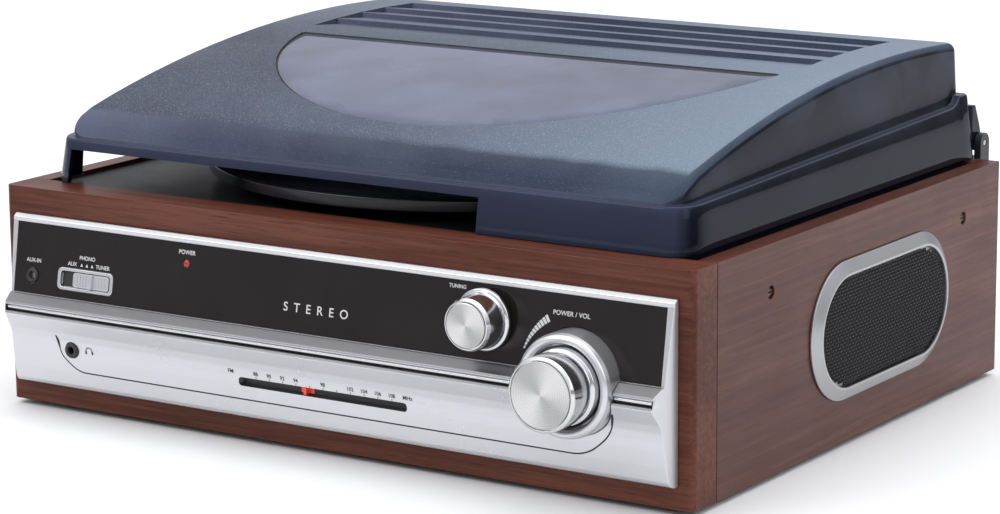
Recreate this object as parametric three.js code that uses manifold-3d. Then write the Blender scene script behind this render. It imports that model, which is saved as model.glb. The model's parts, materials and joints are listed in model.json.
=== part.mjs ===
// Turntable record player with a radio in a wooden cabinet: a belt-driven platter and a tonearm on a
// sunk deck plate, a hinged smoked dust cover, a moulded front fascia with knobs, a slide switch and a
// dial, and an oval speaker in each side board.
// Millimetres, +Z up, +Y to the back. Shapes are drawn in the cabinet's frame, whose origin is at the
// middle of the cabinet's underside. The assembly is then lifted onto its feet and moved so that the
// origin lies below the middle of the whole object.
import * as THREE from 'three';
import { mergeVertices } from 'three/addons/utils/BufferGeometryUtils.js';
import Module from 'manifold-3d';

const wasm = await Module();
wasm.setup();

// ---------------------------------------------------------------- driving dimensions
const gap = 0.3;
const footHeight = 3;
const originShiftY = 13.6;

const cabinet = { halfWidth: 210, front: -165, back: 165, height: 116, corner: 3.5 };
const board = { front: 22, side: 11, back: 11, base: 9 };
const inner = {
  x: cabinet.halfWidth - board.side,
  front: cabinet.front + board.front,
  back: cabinet.back - board.back,
};
const boardWindow = { halfWidth: 192, bottom: 17, top: 96 };
const screwHoles = { ys: [-91, 121], z: 92, radius: 3.4, depth: 3 };

const speaker = { y: 25.2, z: 58.2, straight: 40.8, radius: 35.8 };
const deck = { top: 113.5, thickness: 3 };

const fascia = { halfWidth: 202, frontHalfWidth: 197.6, back: cabinet.front - gap };
const panel = { halfWidth: 198, top: 98, bottom: 61.8, topY: -168.6, bottomY: -174.7, thickness: 1.3 };
const ridge = { y: -182.2, top: 57.4 };
const bar = { y: -181, back: -179.5, top: 55.7, bottom: 53.2 };
const tuning = { x: 99.5, z: 81.9, baseRadius: 15.4, drivePulley: 4.4 };
const volume = { x: 150.5, z: 57.5, face: -205, faceRadius: 18.3, ringRadius: 25.7, wellRadius: 20.6 };
const selector = { x: -150.2, z: 71.6, frame: [37, 11.6], slot: [33, 8.4], knob: [24, 7.6] };
const auxJack = { x: -186.2, z: 71 };
const led = { x: -84.8, z: 87.8 };
const phones = { x: -159, z: 34.2 };
const dial = { left: -49.5, right: 54.2, z: 32, height: 4.6, pointer: -8.4 };

const drum = { x: 56, z: 62, radius: 26.6 };

const platter = { x: -21, y: 6, radius: 147, bottom: 119.5, top: 127, floor: 125.2, web: 122.6 };
const beltRing = { radius: 95, bottom: 116.5 };
const spindleRadius = 3.55;
const pulley = { angle: 2.45, distance: 118, radius: 5.5 };
const pulleyX = platter.x + pulley.distance * Math.cos(pulley.angle);
const pulleyY = platter.y + pulley.distance * Math.sin(pulley.angle);

const arm = { x: 150, y: 118, z: 139, length: 217, tubeRadius: 3.6, restY: -22 };
const cue = { x: 174, y: 96, z: 122, liftRadius: 31 };
const liftPost = {
  x: arm.x + cue.liftRadius * Math.cos(Math.PI * 1.39),
  y: arm.y + cue.liftRadius * Math.sin(Math.PI * 1.39),
};
const speed = { x: 172, y: 34 };
const adapter = { x: -157, y: 132, radius: 19, bottom: 131, height: 7 };

const lid = {
  rim: { halfWidth: 196, front: -147, back: 165.4, z: 116.3, corner: 16,
    rearCorner: 5 },
  step: { halfWidth: 192.4, front: -141, back: 163.6, z: 152, corner: 14,
    rearCorner: 5 },
  bodyBottom: { halfWidth: 190.6, front: -141, back: 161, z: 100, corner: 13,
    rearCorner: 6 },
  bodyTop: { halfWidth: 186, front: -140, back: 160, z: 186, corner: 9,
    rearCorner: 6 },
  wall: 2.6,
};
const lidGap = { left: -183, right: 76.5, top: 134, sideFront: -122, sideBack: 20 };
const hinge = { x: 190, y: 172, z: 124, halfWidth: 8, lugHalfWidth: 3.7, knuckle: 5.4, pinRadius: 1.6 };

// ---------------------------------------------------------------- finishes
const finish = (color, roughness, metalness, opacity = 1) =>
  new THREE.MeshStandardMaterial({ color, roughness, metalness, opacity, transparent: opacity < 1 });

const wood = () => finish(0x5e2a1c, 0.45, 0);
const rawWood = () => finish(0x8a6a48, 0.8, 0);
const silver = () => finish(0xc9cacd, 0.35, 0.7);
const chrome = () => finish(0xd8d9dc, 0.12, 1);
const aluminium = () => finish(0xc4c4c6, 0.4, 1);
const gloss = () => finish(0x201d1d, 0.15, 0);
const black = () => finish(0x141416, 0.5, 0);
const rubber = () => finish(0x0e0e0f, 0.85, 0);
const deckGrey = () => finish(0x2b3238, 0.4, 0.2);
const steel = () => finish(0x8c8f93, 0.35, 1);

// ---------------------------------------------------------------- solids
const alongX = new THREE.Matrix4().makeBasis(
  new THREE.Vector3(0, 1, 0), new THREE.Vector3(0, 0, 1), new THREE.Vector3(1, 0, 0));
const alongY = new THREE.Matrix4().makeBasis(
  new THREE.Vector3(1, 0, 0), new THREE.Vector3(0, 0, 1), new THREE.Vector3(0, -1, 0));
const panelTilt = Math.atan2(panel.top - panel.bottom, panel.topY - panel.bottomY);

// A closed geometry as a manifold solid.
function solid(geometry) {
  const plain = (geometry.index ? geometry.toNonIndexed() : geometry).clone();
  plain.deleteAttribute('normal');
  plain.deleteAttribute('uv');
  const merged = mergeVertices(plain, 1e-4);
  const mesh = new wasm.Mesh({
    numProp: 3,
    vertProperties: new Float32Array(merged.attributes.position.array),
    triVerts: new Uint32Array(merged.index.array),
  });
  mesh.merge();
  return new wasm.Manifold(mesh);
}

const shapeOf = (points) => new THREE.Shape(points.map(([a, b]) => new THREE.Vector2(a, b)));

function extruded(shape, depth, matrix, segments = 6) {
  const geometry = new THREE.ExtrudeGeometry(shape, { depth, bevelEnabled: false, curveSegments: segments });
  return solid(geometry.applyMatrix4(matrix));
}

// Prisms: an outline in (y, z) drawn out along X, in (x, z) along Y, and in (x, y) along Z.
function prismX(outline, x0, x1) {
  const shape = Array.isArray(outline) ? shapeOf(outline) : outline;
  return extruded(shape, x1 - x0, alongX.clone().setPosition(x0, 0, 0));
}

function prismY(outline, y0, y1, segments) {
  const shape = Array.isArray(outline) ? shapeOf(outline) : outline;
  return extruded(shape, y1 - y0, alongY.clone().setPosition(0, y1, 0), segments);
}

function prismZ(outline, z0, z1, segments) {
  const shape = Array.isArray(outline) ? shapeOf(outline) : outline;
  return extruded(shape, z1 - z0, new THREE.Matrix4().makeTranslation(0, 0, z0), segments);
}

function block(x0, x1, y0, y1, z0, z1) {
  const geometry = new THREE.BoxGeometry(x1 - x0, y1 - y0, z1 - z0);
  geometry.translate((x0 + x1) / 2, (y0 + y1) / 2, (z0 + z1) / 2);
  return solid(geometry);
}

// A rectangle with round corners; the two corners at the far side (y1) may have a radius of their own.
function rounded(x0, x1, y0, y1, r, far = r) {
  const shape = new THREE.Shape();
  shape.absarc(x1 - far, y1 - far, far, 0, Math.PI / 2);
  shape.absarc(x0 + far, y1 - far, far, Math.PI / 2, Math.PI);
  shape.absarc(x0 + r, y0 + r, r, Math.PI, Math.PI * 1.5);
  shape.absarc(x1 - r, y0 + r, r, Math.PI * 1.5, Math.PI * 2);
  return shape;
}

// A turned solid: profile points are (radius, height); the axis is vertical through (x, y).
function turned(profile, x, y, segments = 24) {
  const points = [...profile, profile[0]].map(([r, h]) => new THREE.Vector2(r, h));
  const geometry = new THREE.LatheGeometry(points, segments).rotateX(Math.PI / 2);
  return outward(solid(geometry.translate(x, y, 0)));
}

// The same about an axis along Y through (x, z): heights are then y values.
function turnedY(profile, x, z, segments = 24) {
  const points = [...profile, profile[0]].map(([r, h]) => new THREE.Vector2(r, h));
  return outward(solid(new THREE.LatheGeometry(points, segments).translate(x, 0, z)));
}

// The same about an axis along X through (y, z): heights are x values.
function turnedX(profile, y, z, segments = 24) {
  const points = [...profile, profile[0]].map(([r, h]) => new THREE.Vector2(r, h));
  const geometry = new THREE.LatheGeometry(points, segments).rotateZ(-Math.PI / 2);
  return outward(solid(geometry.translate(0, y, z)));
}

// A solid whose profile ran the other way round has its faces turned outwards.
function outward(body) {
  if (body.volume() > 0) {
    return body;
  }
  const mesh = body.getMesh();
  const triangles = Uint32Array.from(mesh.triVerts);
  for (let i = 0; i < triangles.length; i += 3) {
    [triangles[i], triangles[i + 1]] = [triangles[i + 1], triangles[i]];
  }
  return new wasm.Manifold(new wasm.Mesh({
    numProp: 3, vertProperties: mesh.vertProperties, triVerts: triangles,
  }));
}

function rod(radius, from, to, segments = 12) {
  const a = new THREE.Vector3(...from);
  const b = new THREE.Vector3(...to);
  const geometry = new THREE.CylinderGeometry(radius, radius, a.distanceTo(b), segments);
  const turn = new THREE.Quaternion().setFromUnitVectors(
    new THREE.Vector3(0, 1, 0), b.clone().sub(a).normalize());
  geometry.applyQuaternion(turn);
  geometry.translate((a.x + b.x) / 2, (a.y + b.y) / 2, (a.z + b.z) / 2);
  return solid(geometry);
}

const joined = (...bodies) => bodies.reduce((sum, body) => sum.add(body));
const cut = (body, ...tools) => tools.reduce((rest, tool) => rest.subtract(tool), body);

// A closed surface from rings of equal length: caps at both ends, or a loop when it closes on itself.
function ringsToSolid(rings, closed) {
  const count = rings[0].length;
  const position = rings.flat(2);
  const index = [];
  const last = closed ? rings.length : rings.length - 1;
  for (let i = 0; i < last; i += 1) {
    const next = (i + 1) % rings.length;
    for (let j = 0; j < count; j += 1) {
      const k = (j + 1) % count;
      index.push(i * count + j, i * count + k, next * count + k);
      index.push(i * count + j, next * count + k, next * count + j);
    }
  }
  if (!closed) {
    for (let j = 1; j < count - 1; j += 1) {
      index.push(0, j + 1, j);
      const base = (rings.length - 1) * count;
      index.push(base, base + j, base + j + 1);
    }
  }
  const geometry = new THREE.BufferGeometry();
  geometry.setAttribute('position', new THREE.Float32BufferAttribute(position, 3));
  geometry.setIndex(index);
  return outward(solid(geometry));
}

// A solid between two rounded rectangles at different heights.
function tapered(bottom, top, inset = 0) {
  const ring = (plan) => rounded(
    -plan.halfWidth + inset, plan.halfWidth - inset, plan.front + inset, plan.back - inset,
    plan.corner - inset * 0.8, plan.rearCorner - inset * 0.8,
  ).getPoints(6).slice(0, -1).map((p) => [p.x, p.y, plan.z]);
  return ringsToSolid([ring(bottom), ring(top)], false);
}

// Points of an oval with straight sides, in (y, z), about the speaker's middle, offset outwards.
function ovalPoints(offset) {
  const points = [];
  const steps = 8;
  for (const side of [1, -1]) {
    for (let i = 0; i <= steps; i += 1) {
      const angle = -Math.PI / 2 + (Math.PI * i) / steps;
      const r = speaker.radius + offset;
      points.push([speaker.y + side * (speaker.straight + r * Math.cos(angle)),
        speaker.z + side * r * Math.sin(angle)]);
    }
  }
  return points;
}

// ---------------------------------------------------------------- assembly
const assembly = new THREE.Group();
assembly.position.set(0, originShiftY, footHeight);

function add(name, body, material) {
  const mesh = body.getMesh();
  const geometry = new THREE.BufferGeometry();
  geometry.setAttribute('position', new THREE.BufferAttribute(mesh.vertProperties, 3));
  geometry.setIndex(new THREE.BufferAttribute(mesh.triVerts, 1));
  geometry.computeVertexNormals();
  const piece = new THREE.Mesh(geometry, material);
  piece.name = name;
  assembly.add(piece);
}

const sides = [['left', -1], ['right', 1]];
const mirrored = (body, side) => (side > 0 ? body : body.mirror([1, 0, 0]));

// A geometry drawn flat, x to the right, y up the panel and z out of it, set on the sloping panel.
function onPanel(body, x, z) {
  const y = panel.topY + ((panel.top - z) / (panel.top - panel.bottom)) * (panel.bottomY - panel.topY);
  const place = new THREE.Matrix4().makeRotationX(panelTilt).setPosition(x, y, z);
  return body.transform(place.elements);
}

// ---------------------------------------------------------------- cabinet
function addCabinet() {
  const { halfWidth, front, back, height, corner } = cabinet;
  const plan = new THREE.Shape();
  plan.moveTo(-halfWidth, inner.front);
  plan.lineTo(-halfWidth, front + corner);
  plan.absarc(-halfWidth + corner, front + corner, corner, Math.PI, Math.PI * 1.5);
  plan.absarc(halfWidth - corner, front + corner, corner, Math.PI * 1.5, Math.PI * 2);
  plan.lineTo(halfWidth, inner.front);
  const frontBoard = cut(
    prismZ(plan, 0, height),
    block(-boardWindow.halfWidth, boardWindow.halfWidth, front - 1, inner.front + 1,
      boardWindow.bottom, boardWindow.top),
  );
  add('front_board', frontBoard, wood());

  const screwHole = (y) => rod(screwHoles.radius, [halfWidth - screwHoles.depth, y, screwHoles.z],
    [halfWidth + 1, y, screwHoles.z], 20);
  const sideBoard = cut(
    block(inner.x, halfWidth, inner.front + gap, back, 0, height),
    prismX(ovalPoints(-7.7), inner.x - 1, halfWidth + 1),
    ...screwHoles.ys.map(screwHole),
  );
  for (const [name, side] of sides) {
    add(`${name}_side_board`, mirrored(sideBoard, side), wood());
  }

  const backBoard = cut(
    block(-inner.x + gap, inner.x - gap, inner.back, back, 0, height),
    block(-50, 50, inner.back - 1, back + 1, 30, 70),
  );
  add('back_board', backBoard, wood());
  add('base_board', block(-inner.x + gap, inner.x - gap, inner.front + gap, inner.back - gap, 0, board.base),
    rawWood());

  for (const [name, side] of sides) {
    for (const [end, y] of [['front', -135], ['rear', 135]]) {
      const foot = turned([[0, -footHeight], [10, -footHeight], [11, -gap], [0, -gap]], side * 185, y, 24);
      add(`foot_${end}_${name}`, foot, rubber());
    }
  }
}

// ---------------------------------------------------------------- speakers
function addSpeakers() {
  const x = cabinet.halfWidth;
  const bezelProfile = [[0, x + gap], [0, x + 1.1], [-6.2, x + 4.3], [-7.2, x + 4.3], [-7.2, x + 2],
    [-9.6, x + 2], [-9.6, x - 8], [-8, x - 8], [-8, x + gap]];
  const bezel = ringsToSolid(
    bezelProfile.map(([offset, at]) => ovalPoints(offset).map(([y, z]) => [at, y, z])), true);
  const grille = ringsToSolid(
    [[-7.5, x + 2.3], [-7.5, x + 3.1], [-8.6, x + 3.8]]
      .map(([offset, at]) => ovalPoints(offset).map(([y, z]) => [at, y, z])), false);
  const rim = inner.x - gap;
  const basket = turnedX([[44, rim], [44, rim - 3], [38, rim - 4], [22, rim - 20], [22, rim - 26],
    [30, rim - 26], [30, rim - 38], [0, rim - 38], [0, rim - 22], [19, rim - 18], [34, rim - 3],
    [34, rim]], speaker.y, speaker.z, 18);
  const cone = turnedX([[36, rim - 0.6], [31, rim - 0.6], [12, rim - 15], [0, rim - 12],
    [0, rim - 14], [12, rim - 17], [31, rim - 2.4], [36, rim - 1.8]], speaker.y, speaker.z, 18);
  const { y, z } = speaker;
  const slotBack = rim - 16;
  const slotFront = rim - 9;
  const driver = cut(
    joined(basket, cone),
    block(slotBack, slotFront, y - 8, y + 8, z + 22, z + 50),
    block(slotBack, slotFront, y - 8, y + 8, z - 50, z - 22),
    block(slotBack, slotFront, y + 22, y + 50, z - 8, z + 8),
    block(slotBack, slotFront, y - 50, y - 22, z - 8, z + 8),
  );
  for (const [name, side] of sides) {
    add(`speaker_bezel_${name}`, mirrored(bezel, side), silver());
    add(`speaker_grille_${name}`, mirrored(grille, side), black());
    add(`speaker_driver_${name}`, mirrored(driver, side), steel());
  }
}

// ---------------------------------------------------------------- fascia and its controls
function addFascia() {
  const { halfWidth, frontHalfWidth, back } = fascia;
  const outline = [[back, 102], [-166.6, 102], [-168.8, 100.2], [-168.8, 98.6], [-174.9, 61.3],
    [-176.2, 61.2], [ridge.y, ridge.top], [-182.4, 56], [bar.back + gap, 56], [bar.back + gap, 52.9],
    [-183.2, 52.6], [-183, 51], [-180.6, 47.4], [-177.8, 43.6], [-176, 39.6], [-175.4, 35.6],
    [-175.1, 31], [-173.9, 23], [-172.3, 14.6], [-170.8, 12.6], [-168.4, 11.6], [back, 11.5]];
  const recess = [[-167, panel.top + gap], [-173.1, panel.bottom - gap], [-190, panel.bottom - gap],
    [-190, panel.top + gap]];
  const cavity = [[-160, 90], [-165.2, 90], [-170.4, 61], [-177.6, 58.4], [-176.8, 50.6], [-180, 50],
    [-173.2, 38], [-172.6, 31], [-170, 18], [-160, 18]];
  const taper = [[-halfWidth, back + 1], [-halfWidth, -168], [-frontHalfWidth, -184],
    [frontHalfWidth, -184], [halfWidth, -168], [halfWidth, back + 1]];
  const ringHole = rod(volume.ringRadius + gap, [volume.x, -195, volume.z], [volume.x, -160, volume.z], 30);
  const throughHoles = [
    rod(4, [tuning.x, -190, tuning.z], [tuning.x, -150, tuning.z]),
    onPanel(rod(4.2, [0, 0, -10], [0, 0, 5], 20), auxJack.x, auxJack.z),
    onPanel(rod(2.2, [0, 0, -10], [0, 0, 5]), led.x, led.z),
  ];
  const [frameWidth, frameHeight] = selector.frame;
  const [slotWidth, slotHeight] = selector.slot;
  const centred = (width, height, r) => rounded(-width / 2, width / 2, -height / 2, height / 2, r);
  const framePlate = prismZ(centred(frameWidth, frameHeight, 3), -3.4, 0.6, 4);
  const switchFrame = onPanel(framePlate, selector.x, selector.z);
  const switchSlot = onPanel(joined(
    prismZ(centred(slotWidth, slotHeight, 2), -1.2, 2, 4),
    block(-slotWidth / 2 + 3, slotWidth / 2 - 3, -1.4, 1.4, -10, 0),
  ), selector.x, selector.z);
  const moulding = cut(
    prismX(outline, -halfWidth, halfWidth).intersect(prismZ(taper, 0, 120)),
    prismX(recess, -panel.halfWidth - gap, panel.halfWidth + gap),
    prismX(cavity, -boardWindow.halfWidth, boardWindow.halfWidth),
  );
  const body = cut(
    joined(moulding, switchFrame),
    switchSlot,
    ringHole,
    ...throughHoles,
    rod(4.5, [phones.x, -185, phones.z], [phones.x, -160, phones.z], 20),
    prismY(rounded(dial.left, dial.right, dial.z - dial.height / 2, dial.z + dial.height / 2, 2.2),
      -180, -160),
  );
  add('front_fascia', body, silver());

  const plate = [[panel.topY + panel.thickness, panel.top], [panel.bottomY + panel.thickness, panel.bottom],
    [panel.bottomY, panel.bottom], [panel.topY, panel.top]];
  const frameHole = onPanel(prismZ(centred(frameWidth + 2 * gap, frameHeight + 2 * gap, 3.3), -5, 5, 4),
    selector.x, selector.z);
  add('control_panel', cut(prismX(plate, -panel.halfWidth, panel.halfWidth), ringHole, frameHole,
    ...throughHoles), gloss());
  const trimBar = (x0, x1) => cut(block(x0, x1, bar.y, bar.back, bar.bottom, bar.top), ringHole);
  add('trim_bar_long', trimBar(-frontHalfWidth + 0.4, volume.x), chrome());
  add('trim_bar_short', trimBar(volume.x, frontHalfWidth - 0.6), chrome());

  add('power_led', onPanel(turned([[0, -6], [1.9, -6], [1.9, 0.2], [1.2, 0.9], [0, 1.1]], 0, 0, 16),
    led.x, led.z), finish(0xd01818, 0.2, 0));
  add('aux_jack', onPanel(turned([[1.8, -9], [5.2, -9], [5.2, -6.4], [3.9, -6.4], [3.9, 0.3], [3.2, 0.7],
    [1.8, 0.7]], 0, 0, 24), auxJack.x, auxJack.z), black());
  add('headphone_jack', turnedY([[1.8, -160], [6, -160], [6, -171.4], [4.2, -171.4], [4.2, -175.6],
    [3.4, -176], [1.8, -176]], phones.x, phones.z, 24), black());
}

function addSelector() {
  const [knobWidth, knobHeight] = selector.knob;
  const right = selector.slot[0] / 2 - 0.4;
  const left = right - knobWidth;
  const ridgeX = (left + right) / 2;
  const padDepth = -0.9;
  const knobBody = joined(
    prismZ(rounded(left, right, -knobHeight / 2, knobHeight / 2, 1.6), padDepth, 0.9, 4),
    block(ridgeX - 1.5, ridgeX + 1.5, -knobHeight / 2, knobHeight / 2, padDepth, 2.1),
    block(ridgeX - 1.2, ridgeX + 1.2, -1, 1, -4, padDepth + 0.1),
  );
  add('function_switch_knob', onPanel(knobBody, selector.x, selector.z), silver());
}

function addKnobs() {
  const tuningSleeve = 3;
  add('tuning_knob', turnedY([[0, -148], [tuning.drivePulley, -148], [tuning.drivePulley, -152],
    [tuningSleeve, -152], [tuningSleeve, -174.4], [tuning.baseRadius, -174.4], [tuning.baseRadius, -176.4],
    [13.4, -177], [13, -188.6], [12, -190.4], [11.4, -190.4], [11.4, -189.6], [0, -189.6]],
    tuning.x, tuning.z, 24), chrome());
  add('tuning_knob_cap', turnedY([[0, -189.9], [11.1, -189.9], [11.1, -190.8], [10.7, -191], [0, -191]],
    tuning.x, tuning.z, 24), aluminium());

  const { face, faceRadius } = volume;
  add('volume_knob', turnedY([[0, -152], [3, -152], [3, -177], [19.2, -177], [19.6, -184.6],
    [18.6, -186.4], [17, -187.4], [17, -191], [faceRadius, -192.4], [faceRadius, face + 1.4],
    [faceRadius - 1.3, face + 0.4], [16.6, face + 0.4], [16.6, face + 1.3], [0, face + 1.3]],
    volume.x, volume.z, 30), chrome());
  add('volume_knob_cap', turnedY([[0, face + 1], [16.3, face + 1], [16.3, face + 0.1], [15.9, face],
    [0, face]], volume.x, volume.z, 30), aluminium());
  const { ringRadius, wellRadius } = volume;
  add('volume_ring', turnedY([[5, -172], [wellRadius, -172], [wellRadius, -168], [ringRadius, -168],
    [ringRadius, -183.4], [25.1, -185.4], [24, -186.6], [22.8, -186.9], [21.6, -186.4],
    [wellRadius, -184.8], [wellRadius, -175], [5, -175]], volume.x, volume.z, 30), silver());
}

// The upright board behind the fascia: it carries the slide switch, the volume control, the tuning
// capacitor and the strip behind the dial's slot.
function addControlBoard() {
  const face = -140;
  const slideSwitch = joined(
    block(selector.x - 18, selector.x + 18, -166, -158, selector.z - 6, selector.z + 5),
    block(selector.x - 8, selector.x + 8, -159, face + 1, selector.z - 5, selector.z + 4),
  );
  const slideSlot = block(selector.x - 14, selector.x + 14, -167, -161, selector.z - 3, selector.z + 2.6);
  const control = turnedY([[0, face - 1], [9, face - 1], [9, -148], [4.4, -148], [4.4, -160],
    [3.4, -160], [3.4, -151.6], [3.4, -149], [0, -149]], volume.x, volume.z, 24);
  const capacitor = cut(
    block(drum.x - 12, drum.x + 12, -146.4, face + 14, drum.z - 12, drum.z + 12),
    rod(3.3, [drum.x, -150, drum.z], [drum.x, -133.5, drum.z]),
  );
  const sheet = cut(
    block(-172, 176, face - 1.6, face, board.base + gap, 92),
    rod(3.3, [drum.x, -150, drum.z], [drum.x, -133.5, drum.z]),
  );
  const backingFront = -170.5;
  const dialBacking = joined(
    block(dial.left - 8, dial.right + 8, backingFront, backingFront + 1, dial.z - 6, dial.z + 5),
    ...[dial.left, dial.right].map((x) => rod(2.5, [x, backingFront + 0.5, dial.z], [x, face, dial.z], 12)),
  );
  add('control_board', joined(cut(slideSwitch, slideSlot), control, capacitor, dialBacking, sheet),
    finish(0x1d5a32, 0.5, 0));
}

function addDial() {
  const y = -171.9;
  add('dial_pointer', joined(
    block(dial.pointer - 0.9, dial.pointer + 0.9, y - 2.6, y, dial.z - 1.9, dial.z + 1.9),
    block(dial.pointer - 4, dial.pointer + 4, y, y + 1, dial.z - 1.5, dial.z + 12),
  ), finish(0xd8261c, 0.35, 0));
  add('tuning_drum', cut(turnedY([[0, -134], [3, -134], [3, -146.8], [drum.radius, -146.8],
    [drum.radius - 1.4, -148.2], [drum.radius, -149.8], [0, -149.8]], drum.x, drum.z, 24)), black());
}

// ---------------------------------------------------------------- electronics and rear panel
function addElectronics() {
  const floor = board.base + gap;
  const parts = [block(-60, 90, -118, -30, 20, 21.6)];
  for (const x of [-52, 82]) {
    for (const y of [-110, -38]) {
      parts.push(rod(4, [x, y, floor], [x, y, 20.1], 12));
    }
  }
  parts.push(block(-40, 20, -50, -44, 21.5, 46));
  for (const [x, y, r, top] of [[40, -60, 6, 40], [56, -60, 6, 40], [0, -90, 5, 34], [72, -96, 4, 30]]) {
    parts.push(rod(r, [x, y, 21.5], [x, y, top], 16));
  }
  parts.push(block(20, 44, -104, -92, 21.5, 25));
  add('main_circuit_board', joined(...parts), finish(0x1d5a32, 0.5, 0));

  add('power_transformer', joined(
    block(-128, -72, 62, 104, floor, floor + 3),
    block(-122, -78, 68, 98, floor + 2.9, floor + 40),
    block(-114, -86, 60, 106, floor + 8, floor + 34),
  ), steel());

  const y = cabinet.back + gap;
  const jacks = [[-34, 58], [-34, 41]];
  const inlet = { x: 28, z: 50, width: 15, height: 7.6 };
  add('rear_panel', cut(
    prismY(rounded(-56, 56, 24, 76, 4), y, y + 1.8, 4),
    ...jacks.map(([x, z]) => rod(5.3, [x, y - 1, z], [x, y + 3, z], 20)),
    block(inlet.x - 12.3, inlet.x + 12.3, y - 1, y + 3, inlet.z - 7.3, inlet.z + 7.3),
  ), black());
  const socket = (x, z) => turnedY([[1.7, y - 10], [7, y - 10], [7, y - gap], [5, y - gap], [5, y + 2.2],
    [4.2, y + 6], [1.7, y + 6]], x, z, 12);
  add('line_out_sockets', joined(...jacks.map(([x, z]) => socket(x, z)),
    block(-42, -26, y - 16, y - 9.4, 33, 66)), aluminium());
  const mouth = rounded(inlet.x - inlet.width / 2, inlet.x + inlet.width / 2,
    inlet.z - inlet.height / 2, inlet.z + inlet.height / 2, 3.7);
  const contact = (dx) => rod(1.2, [inlet.x + dx, y - 11.5, inlet.z], [inlet.x + dx, y - 2, inlet.z], 10);
  add('mains_inlet', joined(
    cut(
      block(inlet.x - 12, inlet.x + 12, y - 14, y + 2.2, inlet.z - 7, inlet.z + 7),
      prismY(mouth, y - 11, y + 4, 6),
    ),
    ...[-4.3, 4.3].map(contact),
  ), black());
}

// ---------------------------------------------------------------- deck, platter and drive
function beltOutline(bigRadius, smallRadius) {
  const lean = Math.acos((beltRing.radius - pulley.radius) / pulley.distance);
  const outline = new THREE.Shape();
  outline.absarc(platter.x, platter.y, bigRadius, pulley.angle + lean, pulley.angle - lean + Math.PI * 2);
  outline.absarc(pulleyX, pulleyY, smallRadius, pulley.angle - lean, pulley.angle + lean);
  return outline;
}

function addDeck() {
  const { top, thickness } = deck;
  const bottom = top - thickness;
  const cutter = (r, x, y) => rod(r, [x, y, bottom - 5], [x, y, top + 5], 24);
  const legs = [[-178, -110], [178, -110], [-178, 132], [178, 132]];
  add('deck_plate', joined(
    cut(
      block(-inner.x + gap, inner.x - gap, inner.front + gap, inner.back - gap, bottom, top),
      cutter(8.8, platter.x, platter.y),
      cutter(7.5, pulleyX, pulleyY),
      cutter(10.3, arm.x, arm.y),
      block(speed.x - 2, speed.x + 2, speed.y - 10, speed.y + 10, bottom - 1, top + 1),
    ),
    rod(7, [adapter.x, adapter.y, top - 1], [adapter.x, adapter.y, adapter.bottom - gap], 20),
    rod(3.4, [adapter.x, adapter.y, adapter.bottom - 1], [adapter.x, adapter.y, adapter.bottom + 5], 16),
    cut(rod(4.6, [liftPost.x, liftPost.y, top - 1], [liftPost.x, liftPost.y, top + 10], 20),
      rod(1.6, [liftPost.x, liftPost.y, top + 3], [liftPost.x, liftPost.y, top + 11], 16)),
    ...legs.map(([x, y]) => rod(5, [x, y, board.base + gap], [x, y, bottom + 1], 16)),
  ), deckGrey());
  add('adapter_45', turned([[3.8, adapter.bottom], [adapter.radius - 3, adapter.bottom],
    [adapter.radius - 3, adapter.bottom + 2], [adapter.radius, adapter.bottom + 2],
    [adapter.radius, adapter.bottom + 5], [12, adapter.bottom + adapter.height],
    [3.8, adapter.bottom + adapter.height]], adapter.x, adapter.y, 24), black());
}

function addPlatter() {
  const { x, y, radius, bottom, top, floor, web } = platter;
  const ringInner = beltRing.radius - 3;
  const hub = 12;
  const bore = spindleRadius + gap;
  add('platter', turned([[bore, 115.4], [hub, 115.4], [hub, web], [ringInner, web],
    [ringInner, beltRing.bottom], [beltRing.radius, beltRing.bottom], [beltRing.radius, web],
    [radius - 3, web], [radius - 3, bottom], [radius - 0.8, bottom], [radius, bottom + 0.8],
    [radius, top - 1.2], [radius - 1.2, top], [radius - 3.6, top], [radius - 3.6, floor],
    [bore, floor]], x, y, 44), black());
  add('platter_mat', turned([[bore, floor + gap], [radius - 4, floor + gap], [radius - 4, floor + 1.9],
    [bore, floor + 1.9]], x, y, 40), rubber());
  add('spindle', turned([[0, 91], [spindleRadius, 91], [spindleRadius, 138.4], [2.6, 140.4],
    [0, 141.2]], x, y, 20), steel());
  add('spindle_bearing', turned([[0, 87], [8.5, 87], [8.5, deck.top + gap], [14, deck.top + gap],
    [14, deck.top + 1.5], [bore, deck.top + 1.5], [bore, 90.6], [0, 90.6]], x, y, 28),
  finish(0xb08a4a, 0.4, 1));

  const beltInner = 0.9;
  const beltOuter = 1.7;
  add('drive_belt', cut(
    prismZ(beltOutline(beltRing.radius + beltOuter, pulley.radius + beltOuter), 117.4, 121.4, 24),
    prismZ(beltOutline(beltRing.radius + beltInner, pulley.radius + beltInner), 117, 122, 24),
  ), rubber());
  add('motor', turned([[0, 82], [17, 82], [18, 84], [18, 108], [6, 108], [6, 110.2], [1.6, 110.2],
    [1.6, 95], [0, 95]], pulleyX, pulleyY, 20), steel());
  add('motor_pulley', turned([[0, 95.5], [1.2, 95.5], [1.2, 114.6], [6.6, 114.6], [6.6, 116.4],
    [pulley.radius, 117], [pulley.radius, 121.6], [3, 122.2], [0, 122.2]], pulleyX, pulleyY, 18),
  finish(0xb08a4a, 0.3, 1));
}

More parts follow.
